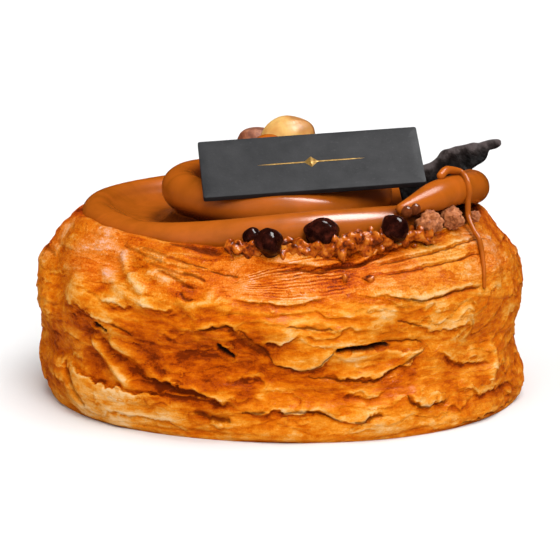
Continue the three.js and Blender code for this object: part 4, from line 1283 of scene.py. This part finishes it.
def unit_ball(rows, columns):
    """Points of a ball of radius 1, rows of latitude and columns of longitude, with its two poles last."""
    polar = np.pi * np.arange(1, rows)[:, None] / rows
    turn = np.linspace(0, 2 * np.pi, columns, endpoint=False)[None]
    x, y = np.sin(polar) * np.cos(turn), np.sin(polar) * np.sin(turn)
    return round_points(np.stack(np.broadcast_arrays(x, y, -np.cos(polar)), -1), [0, 0, -1], [0, 0, 1])


def many_balls(shaped, rows, columns):
    """Points and faces of many unit balls after they were moved and shaped: count x points x 3."""
    grids = shaped[:, :-2].reshape(len(shaped), rows - 1, columns, 3)
    return many_round(grids, shaped[:, -2], shaped[:, -1])


drop_centre, wide = rope_at(DROP_TURNS)
outward = drop_centre * [1, 1, 0] / np.hypot(drop_centre[:, :1], drop_centre[:, 1:2])
drop_centre = drop_centre + DROP_OUT * outward * wide[:, None] - [0, 0, DROP_DOWN]
drops = drop_centre[:, None] + DROP_RADIUS * unit_ball(DROP_ROWS, DROP_COLUMNS)
melted = Finish("melted_dark_chocolate", Specular_IOR_Level=0.1, Coat_Roughness=0.12)
melted.gloss(0.4, 0.03)
melted.colour(melted.ramp(melted.noise(0.9), [(0.3, (0.07, 0.014, 0.004)), (0.7, (0.15, 0.035, 0.009))]))
melted.roughness(melted.spread(melted.noise(0.5), 0.3, 0.7, 0.1, 0.2))
melted.bump((melted.noise(0.8, detail=2), 0.05))
add_piece("dark_drops", *many_balls(drops, DROP_ROWS, DROP_COLUMNS), melted, "dark_chocolate")

# %% [markdown]
# ## Crumble on the rim
# Chopped nuts stick in beds of caramel on the front of the rim, with some at the back. A bed is a tube
# along the rim, swollen by clouds. A crumb is a small ball cut off by chance planes, as a knife leaves
# a nut, and set on the pastry's own surface.

# %% Beds and crumbs
# Each bed goes from one angle to another and has a half thickness and a seed for its clouds
BEDS = [(-104, -90.5, 1.3, 121), (-88.5, -60.5, 1.8, 123), (-57, -48, 1.1, 125), (72, 116, 1.4, 127)]
BED_POINTS, BED_SIDES = 150, 44
# Crumbs lie from one angle to another, so many of them; the other pairs are the least and the most
CRUMB_STRETCHES = [(-104, -95, 14), (-90, -60, 80), (-57, -47, 16), (66, 118, 80)]
CRUMB_RADII, CRUMB_PLACES, CRUMB_RISES, CRUMB_SHAPES = (0.6, 1.35), (0.82, 0.9), (0.2, 2.3), (0.6, 1.3)
CRUMB_ROWS, CRUMB_COLUMNS, CRUMB_CUTS, CUT_DEPTHS, LONGEST = 9, 14, 9, (0.5, 1.0), 1.25
# Two bits of caramel slid down the shoulder: picture points, radii and how far they stand proud
SLID_PIXELS, SLID_RADII, SLID_RISES = [(344, 275), (368, 278)], [0.75, 1.35], [0.3, 0.5]

shells = []
for low, high, size, seed in BEDS:
    bearing = np.linspace(low, high, BED_POINTS)
    ends_in = np.sqrt(np.sin(np.pi * np.linspace(0.02, 0.98, BED_POINTS)))
    path = around(RIM_RADIUS + 1.5, bearing, RIM_HEIGHT + rim_lift(bearing) + 0.3 * size)
    bed, start, end = tube(path, size * ends_in, BED_SIDES)
    swell = 0.62 + 0.5 * np.abs(cloud(bed, 1.9, seed)) + 0.12 * cloud(bed, 0.8, seed + 1)
    centres = bed.mean(1, keepdims=True)
    shells.append(round_shell(centres + (bed - centres) * swell[..., None], start, end))

draw = np.random.default_rng(23)
crumb_angle = np.concatenate([draw.uniform(low, high, count) for low, high, count in CRUMB_STRETCHES])
crumb_size = draw.uniform(*CRUMB_RADII, len(crumb_angle))
crumb_along = draw.uniform(*CRUMB_PLACES, len(crumb_angle))
crumb_rise = draw.uniform(*CRUMB_RISES, len(crumb_angle)) * smoothstep(crumb_along, 0.81, 0.86)
slid_angle, slid_along = on_pastry(SLID_PIXELS)
crumb_angle = np.concatenate([np.radians(crumb_angle), slid_angle])
crumb_size = np.concatenate([crumb_size, SLID_RADII])
crumb_along = np.concatenate([crumb_along, slid_along])
crumb_centre = pastry_point(crumb_along, crumb_angle, np.concatenate([crumb_rise, SLID_RISES]))
count = len(crumb_angle)
unit = unit_ball(CRUMB_ROWS, CRUMB_COLUMNS)
scaled = unit * draw.uniform(*CRUMB_SHAPES, (count, 1, 3))
cuts = draw.normal(size=(count, CRUMB_CUTS, 3))
cuts /= np.linalg.norm(cuts, axis=-1, keepdims=True)
reach = draw.uniform(*CUT_DEPTHS, (count, 1, CRUMB_CUTS)) / np.maximum(unit @ cuts.transpose(0, 2, 1), 0.3)
chopped = np.minimum(reach.min(-1), LONGEST)
crumbs = crumb_centre[:, None] + scaled * chopped[..., None] * crumb_size[:, None, None]
shells.append(many_balls(crumbs, CRUMB_ROWS, CRUMB_COLUMNS))
print(len(BEDS), "beds and", count, "crumbs")

# %% [markdown]
# Caramel is glossy and runs from gold to nearly black in clumps. What lies lower on the rim is a little
# darker. The weld, which only needs closed shells, makes one sticky mass of crumbs and beds.

# %% Caramel finish and piece
# Heights in metres up to which the caramel is darker, and from which it isn't
LOW_CARAMEL = (0.034, 0.037)
CARAMEL_COLOURS = [
    (0.0, (0.46, 0.135, 0.012)),
    (0.3, (0.38, 0.08, 0.004)),
    (0.55, (0.27, 0.043, 0.0026)),
    (0.8, (0.13, 0.02, 0.0024)),
    (1.0, (0.042, 0.0072, 0.0018)),
]
caramel = Finish("caramel_crumble", Specular_IOR_Level=0.15, Coat_Roughness=0.15)
caramel.gloss(0.24, 0.03)
clumps = caramel.spread(caramel.noise(1.5, detail=2), 0.35, 0.65, 0.1, 0.9)
clumps = caramel.sums(clumps, caramel.spread(caramel.axis(2), *LOW_CARAMEL, 0.12, 0))
caramel_tone = caramel.sums(clumps, caramel.spread(caramel.noise(0.6), 0.3, 0.7, -0.2, 0.2))
caramel.colour(caramel.ramp(caramel_tone, CARAMEL_COLOURS))
caramel.roughness(caramel.spread(caramel.noise(0.9), 0.3, 0.7, 0.12, 0.28))
caramel.bump((caramel.noise(0.5, detail=2), 0.12))
weld(add_piece("crumble", *joined(shells), caramel, "crust"), 0.2, 1)

# %% [markdown]
# A few larger lumps of nut were rolled in cocoa. They are finer balls made craggy by three clouds, and
# their finish is dull and dusty, pinkish brown with darker pits.

# %% Nut lumps
BALL_ROWS, BALL_COLUMNS = 40, 60
# Angle on the rim and radius of each lump, then height, size and seed of each cloud
LUMPS = [(-47, 2.4), (-37.5, 2.25), (-24.5, 1.2), (101, 2.2)]
CRAGS = [(0.09, 0.6, 81), (0.06, 0.25, 82), (0.035, 0.12, 83)]
lump_angle, lump_size = (np.array(values, float) for values in zip(*LUMPS))
lump_centre = around(RIM_RADIUS + 0.8, lump_angle, RIM_HEIGHT + rim_lift(lump_angle) + 1.05 * lump_size)
unit = unit_ball(BALL_ROWS, BALL_COLUMNS)
shifted = unit + 9 * np.arange(len(LUMPS))[:, None, None]
craggy = 1 + clouds(shifted, CRAGS)
lumps = lump_centre[:, None] + unit * craggy[..., None] * lump_size[:, None, None]

COCOA_COLOURS = [(0.3, (0.14, 0.034, 0.009)), (0.5, (0.34, 0.105, 0.033)), (0.72, (0.50, 0.20, 0.085))]
dusted = Finish("cocoa_dusted_nut", Specular_IOR_Level=0.15)
dust = dusted.noise(0.8, detail=4)
dusted.colour(dusted.ramp(dust, COCOA_COLOURS))
dusted.roughness(dusted.spread(dust, 0.3, 0.7, 0.5, 0.8))
dusted.bump((dusted.noise(0.35, detail=3), 0.12))
add_piece("nut_lumps", *many_balls(lumps, BALL_ROWS, BALL_COLUMNS), dusted, "crust")

# %% [markdown]
# ## Crisp pearls
# The pearls are puffed cereal in dark chocolate: nearly round, polished, with small dents. They sit
# where the CAD pearls sit.

# %% Pearls
PEARL_RADIUS = 2.5
# Name, angle, how far out from the top of the rim and how high above it, size, width along the rim
PEARLS = [
    ("pearl_front_left", -97.4, -1.1, 1.4, 0.78, 1),
    ("pearl_front", -92.65, 2.3, 0.95, 1.1, 1),
    ("pearl_front_centre", -78.9, 0.2, 2.6, 1.12, 1.34),
    ("pearl_front_right", -59.2, 1.4, 2.5, 1.13, 1),
    ("pearl_back_left", 112, 0.4, 1.2, 0.85, 1),
    ("pearl_back", 84, 0.8, 1.2, 0.9, 1),
]
DENTS = [(0.045, 0.6, 91), (0.01, 0.25, 92)]
pearl_names, *pearl_numbers = zip(*PEARLS)
pearl_angle, pearl_out, pearl_up, pearl_size, pearl_wide = np.array(pearl_numbers, float)
pearl_centre = around(RIM_RADIUS + pearl_out, pearl_angle, RIM_HEIGHT + pearl_up)
order = np.arange(len(PEARLS))[:, None]
dented = 1 + 0.05 * np.sin(3 * unit[:, 0] + order) + 0.04 * np.cos(4 * unit[:, 1] - order)
dented += clouds(unit + 7 * order[..., None], DENTS)
balls = unit * (dented * PEARL_RADIUS * pearl_size[:, None])[..., None]
along_rim, outwards, upwards = pearl_wide[:, None] * balls[..., 0], balls[..., 1], balls[..., 2]
c, s = (wave(np.radians(pearl_angle + 90))[:, None] for wave in (np.cos, np.sin))
balls = np.stack([c * along_rim - s * outwards, s * along_rim + c * outwards, upwards], -1)
pearls = balls + pearl_centre[:, None]

PEARL_COLOURS = [(0.35, (0.007, 0.0014, 0.001)), (0.55, (0.018, 0.0034, 0.002)), (0.75, (0.06, 0.010, 0.005))]
coat = Finish("dark_pearl_coat", Specular_IOR_Level=0.06, Coat_Roughness=0.15)
coat.gloss(0.3, 0.02)
coat.colour(coat.ramp(coat.noise(1.6, detail=3), PEARL_COLOURS))
coat.roughness(coat.spread(coat.noise(0.8), 0.35, 0.7, 0.08, 0.2))
coat.bump((coat.noise(1.1, detail=2), 0.08))
add_piece("crisp_pearls", *many_balls(pearls, BALL_ROWS, BALL_COLUMNS), coat, "pearl", pearl_names)

# %% [markdown]
# ## Two hazelnuts
# A kernel is round below and drawn to a blunt point. Both are the CAD outline turned about an axis, with
# faint ribs, and carry a mark that goes from 0 at the base to 1 at the tip.

# %% Shape of a hazelnut
NUT_WIDTH, NUT_LENGTH, NUT_POINT = 10.8, 11.6, 0.9
NUT_ROWS, NUT_COLUMNS = 60, 96


def placed(shell, degrees, place):
    """Turns a shell about x, y and z in the CAD source's order and moves it to its place."""
    (cx, cy, cz), (sx, sy, sz) = np.cos(np.radians(degrees)), np.sin(np.radians(degrees))
    about_x = np.array([[1, 0, 0], [0, cx, -sx], [0, sx, cx]])
    about_y = np.array([[cy, 0, sy], [0, 1, 0], [-sy, 0, cy]])
    about_z = np.array([[cz, -sz, 0], [sz, cz, 0], [0, 0, 1]])
    points, *faces = shell
    return points @ (about_x @ about_y @ about_z).T + np.asarray(place, float), *faces


def nut(ribs, seed):
    """Radius goes as the sine of the polar turn, height as its cosine plus a point; ribs run up it."""
    polar = np.pi * np.arange(1, NUT_ROWS) / NUT_ROWS
    turn = np.linspace(0, 2 * np.pi, NUT_COLUMNS, endpoint=False)
    point = NUT_POINT * np.maximum(0, -np.cos(polar)) ** 6
    outline = np.stack([NUT_WIDTH / 2 * np.sin(polar), -NUT_LENGTH / 2 * np.cos(polar) + point], -1)
    body = turned_about(outline, NUT_COLUMNS)
    wave = 1 + ribs * (np.cos(11 * turn + 0.7) + 0.6 * np.cos(17 * turn + 2)) * np.sin(polar)[:, None]
    wave = wave + 0.012 * cloud(body, 3, seed)
    body = body * np.stack([wave, wave, np.ones_like(wave)], -1)
    return round_shell(body, [0, 0, -NUT_LENGTH / 2], [0, 0, NUT_LENGTH / 2 + NUT_POINT])


to_tip = np.concatenate([np.repeat(np.arange(1, NUT_ROWS) / NUT_ROWS, NUT_COLUMNS), [0, 1]])
print("a nut of", len(to_tip), "points")

# %% [markdown]
# The peeled kernel is golden with toasted patches, more of them towards its tip. The other keeps its
# papery brown skin, with veins drawn out along its height.

# %% Two hazelnuts
PEELED_COLOURS = [(0.4, (0.58, 0.34, 0.1)), (0.62, (0.48, 0.22, 0.05)), (0.95, (0.23, 0.074, 0.017))]
PEELED_TURN, PEELED_PLACE = (-12, 62, 0), (1.3, 4, 52.9)
peeled = Finish("peeled_hazelnut", Specular_IOR_Level=0.32, Subsurface_Weight=0.1, Subsurface_Scale=0.002)
toasted = peeled.sums(peeled.noise(4, detail=3), peeled.spread(peeled.attribute("tip"), 0.55, 1.0, 0, 0.35))
peeled.colour(peeled.ramp(toasted, PEELED_COLOURS))
peeled.roughness(peeled.spread(peeled.noise(1.2), 0.3, 0.7, 0.34, 0.5))
peeled.bump((peeled.noise(0.9, detail=3), 0.08))
gold_nut = placed(nut(0.008, 101), PEELED_TURN, PEELED_PLACE)
add_piece("hazelnut_gold", *gold_nut, peeled, "peeled_nut", ["hazelnut_peeled"], {"tip": to_tip})

SKIN_COLOURS = [(0.3, (0.094, 0.024, 0.0094)), (0.55, (0.21, 0.06, 0.024)), (0.75, (0.31, 0.12, 0.054))]
SKINNED_TURN, SKINNED_PLACE = (20, -40, 0), (-4.0, 14.6, 49.0)
skin = Finish("hazelnut_skin", Specular_IOR_Level=0.35)
veins = skin.noise(1.0, stretch=(1, 1, 3.5), detail=4)
skin.colour(skin.ramp(veins, SKIN_COLOURS))
skin.roughness(skin.spread(veins, 0.3, 0.7, 0.5, 0.7))
skin.bump((veins, 0.16))
brown_nut = placed(nut(0.018, 102), SKINNED_TURN, SKINNED_PLACE)
add_piece("hazelnut_brown", *brown_nut, skin, "skinned_nut", ["hazelnut_skinned"], {"tip": to_tip})

# %% [markdown]
# ## Plaque
# A thin slate-grey plaque leans on the mound. It is a rounded rectangle carried from the middle of one
# face round its softened edge to the middle of the other.

# %% Plaque
PLAQUE_SIZE, PLAQUE_THICKNESS, PLAQUE_CORNER, PLAQUE_SOFT = (45.6, 16.1), 1.2, 0.5, 0.14
PLAQUE_TURN, PLAQUE_PLACE = (38, 0, 5.7), (6.4, -20.2, 51.3)
# How far in from the edge the face has rows of points
FACE_INSETS = (6.0, 2.0)


def rounded_outline(inset, height, per_corner=8):
    """Points round a rectangle with rounded corners, drawn in by an inset, at a height."""
    corner = max(PLAQUE_CORNER - inset, 0.02)
    half = np.array(PLAQUE_SIZE) / 2 - inset - corner
    quarter = np.linspace(0, np.pi / 2, per_corner)
    turn = np.concatenate([quarter + k * np.pi / 2 for k in range(4)])
    signs = np.repeat([(1, 1), (-1, 1), (-1, -1), (1, -1)], per_corner, 0)
    flat = signs * half + corner * np.stack([np.cos(turn), np.sin(turn)], -1)
    return np.concatenate([flat, np.full((len(flat), 1), height)], 1)


depth = PLAQUE_THICKNESS / 2
front_half = [(inset, depth) for inset in FACE_INSETS]
for t in np.linspace(0, np.pi / 2, 5):
    front_half.append((PLAQUE_SOFT * (1 - np.sin(t)), depth - PLAQUE_SOFT + PLAQUE_SOFT * np.cos(t)))
stations = front_half + [(inset, -height) for inset, height in front_half[::-1]]
plaque_grid = np.stack([rounded_outline(inset, height) for inset, height in stations])
plaque = placed(round_shell(plaque_grid, [0, 0, depth], [0, 0, -depth]), PLAQUE_TURN, PLAQUE_PLACE)

SLATE_COLOURS = [(0.3, (0.012, 0.0122, 0.0135)), (0.7, (0.021, 0.021, 0.0225))]
FLECK_GREY = (0.036, 0.036, 0.038)
slate = Finish("slate_plaque", Specular_IOR_Level=0.13)
flecks = slate.spread(slate.noise(0.5, detail=2), 0.62, 0.75, 0, 0.5)
slate.colour(slate.mix(flecks, slate.ramp(slate.noise(5, detail=4), SLATE_COLOURS), FLECK_GREY))
slate.roughness(slate.spread(slate.noise(1.5), 0.3, 0.7, 0.42, 0.6))
slate.bump((slate.noise(0.6, detail=3), 0.02))
add_piece("slate_plaque", *plaque, slate, "plaque", ["plaque"])

# %% [markdown]
# The face of the plaque is plain apart from a printed gold rule, which widens to a small lozenge in the
# middle. It is a thin strip whose half width goes down to that of the rule, and fades at both ends.

# %% Gold rule
RULE_HALF, RULE_POINTS, RULE_HALF_WIDTH, LOZENGE_HALF, RULE_THICKNESS = 11, 121, 0.17, 1.5, 0.03
rule = np.linspace(-RULE_HALF, RULE_HALF, RULE_POINTS)[:, None]
half_width = np.maximum(RULE_HALF_WIDTH, LOZENGE_HALF - np.abs(rule))
half_width = half_width * smoothstep(RULE_HALF + 0.6 - np.abs(rule), 0, 4)
side_to_side, up_down = np.array([(1, 1), (-1, 1), (-1, -1), (1, -1)], float).T
rule_grid = np.broadcast_arrays(rule, half_width * side_to_side, depth + RULE_THICKNESS * up_down)
rule_ends = [-RULE_HALF - 0.05, 0, depth], [RULE_HALF + 0.05, 0, depth]
gold_rule = placed(round_shell(np.stack(rule_grid, -1), *rule_ends), PLAQUE_TURN, PLAQUE_PLACE)
gold = Finish("gold_print", Metallic=0.6)
gold.colour(gold.ramp(gold.noise(0.6, detail=3), [(0.35, (0.35, 0.19, 0.042)), (0.65, (0.52, 0.32, 0.098))]))
gold.roughness(gold.spread(gold.noise(0.4), 0.3, 0.7, 0.3, 0.5))
gold.bump((gold.noise(0.3), 0.01))
add_piece("gold_rule", *gold_rule, gold, "plaque")

# %% [markdown]
# ## Chocolate shard
# A broken sheet of dark chocolate stands in the cream. Its section is a thin flat loop that is tall at
# the foot and narrow at the tip, bowed along its length, with a ragged surface and a grey bloom.

# %% Shape of the shard
SHARD_LENGTH, SHARD_DEPTH, SHARD_THICKNESS, SHARD_BEND = 24.0, 6.6, 1.3, 2.2
SHARD_ROWS, SHARD_COLUMNS = 90, 64
SHARD_TURN, SHARD_PLACE = (80, 0, 14), (36.35, 6.95, 49.25)
# Shares of the length between which the crest rises and sinks and the notch below closes, then the tip
CREST_RISES, CREST_SINKS, NOTCH_CLOSES, TIP_FROM = (0.29, 0.5), (0.74, 0.82), (0.82, 0.885), 0.93
# Heights in millimetres: the low and the high crest, its loss, the notch and the middle of the tip
CREST_LOW, CREST_HIGH, CREST_LOSS, NOTCH, TIP_MIDDLE = -0.6, 1.6, 0.4, 1.7, 0.1

share = np.linspace(0.004, 0.996, SHARD_ROWS)[:, None]
turn = np.linspace(0, 2 * np.pi, SHARD_COLUMNS, endpoint=False)[None]
tall = np.sign(np.sin(turn)) * np.abs(np.sin(turn)) ** 0.75
thick = np.sign(np.cos(turn)) * np.abs(np.cos(turn)) ** 0.5
crest = lerp(CREST_LOW, CREST_HIGH, smoothstep(share, *CREST_RISES))
crest = crest - CREST_LOSS * smoothstep(share, *CREST_SINKS)
notch = NOTCH * (1 - smoothstep(share, *NOTCH_CLOSES))
sunk = -0.95 - notch - SHARD_DEPTH * np.tanh(1.5 * np.maximum(0, 0.83 - share))
tip_round = np.sqrt(1 - 0.96 * np.maximum(0, (share - TIP_FROM) / (1 - TIP_FROM)) ** 2)
top = TIP_MIDDLE + (crest - TIP_MIDDLE) * tip_round
foot = TIP_MIDDLE + (sunk - TIP_MIDDLE) * tip_round
rise = lerp(foot, top, (tall + 1) / 2)
bow = SHARD_BEND * (1 - 4 * (share - 0.5) ** 2) + 0.05 * rise**2
shard_grid = np.broadcast_arrays((share - 0.5) * SHARD_LENGTH, rise, bow + thick * SHARD_THICKNESS / 2)
shard_grid = np.stack(shard_grid, -1)
shard_grid = shard_grid + 0.06 * np.stack([cloud(shard_grid, 1.4, seed) for seed in (111, 112, 113)], -1)
shard_shell = round_shell(shard_grid, shard_grid[0].mean(0), shard_grid[-1].mean(0))
crest_bloom_foot_shade = np.broadcast_to(smoothstep(rise - top, -4.5, 0), (SHARD_ROWS, SHARD_COLUMNS))
crest_bloom_foot_shade = np.concatenate([crest_bloom_foot_shade.ravel(), [0, 1]])
print("shard of", len(crest_bloom_foot_shade), "points")

# %% [markdown]
# The bloom is strongest along the crest, where the sheet broke, so the colour follows a mark for the
# height below the crest as well as a noise. Far below the crest it is nearly black, as painted shade where
# the foot shows in the hollow under the plaque.

# %% Shard finish and piece
# From near black, painted shade at the foot, to the grey of bloom at the crest
BITTER_COLOURS = [
    (0.0, (0.0017, 0.0011, 0.001)),
    (0.45, (0.007, 0.0045, 0.0042)),
    (0.7, (0.018, 0.013, 0.012)),
    (1.0, (0.066, 0.052, 0.051)),
]
bitter = Finish("bitter_chocolate", Specular_IOR_Level=0.1)
bloom = bitter.noise(1.8, detail=5)
bitter_tone = bitter.sums(bitter.attribute("height"), bitter.spread(bloom, 0.3, 0.7, -0.3, 0.3))
bitter.colour(bitter.ramp(bitter_tone, BITTER_COLOURS))
bitter.roughness(bitter.spread(bloom, 0.3, 0.7, 0.4, 0.7))
bitter.bump((bitter.noise(0.9, detail=4), 0.22))
shard = placed(shard_shell, SHARD_TURN, SHARD_PLACE)
add_piece("bitter_shard", *shard, bitter, "dark_chocolate", ["chocolate_shard"], {"height": crest_bloom_foot_shade})

# %% [markdown]
# ## Size and finish
# The dressed pastry has to keep the size of the CAD part.

# %% The sizes of the CAD part and of the dressed pastry
bpy.context.view_layer.update()
dressed_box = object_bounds()
sizes = {"cad": [list(corner) for corner in cad_box], "visual": [list(corner) for corner in dressed_box]}
print("CAD box", [[round(x, 4) for x in corner] for corner in cad_box])
print("dressed box", [[round(x, 4) for x in corner] for corner in dressed_box])
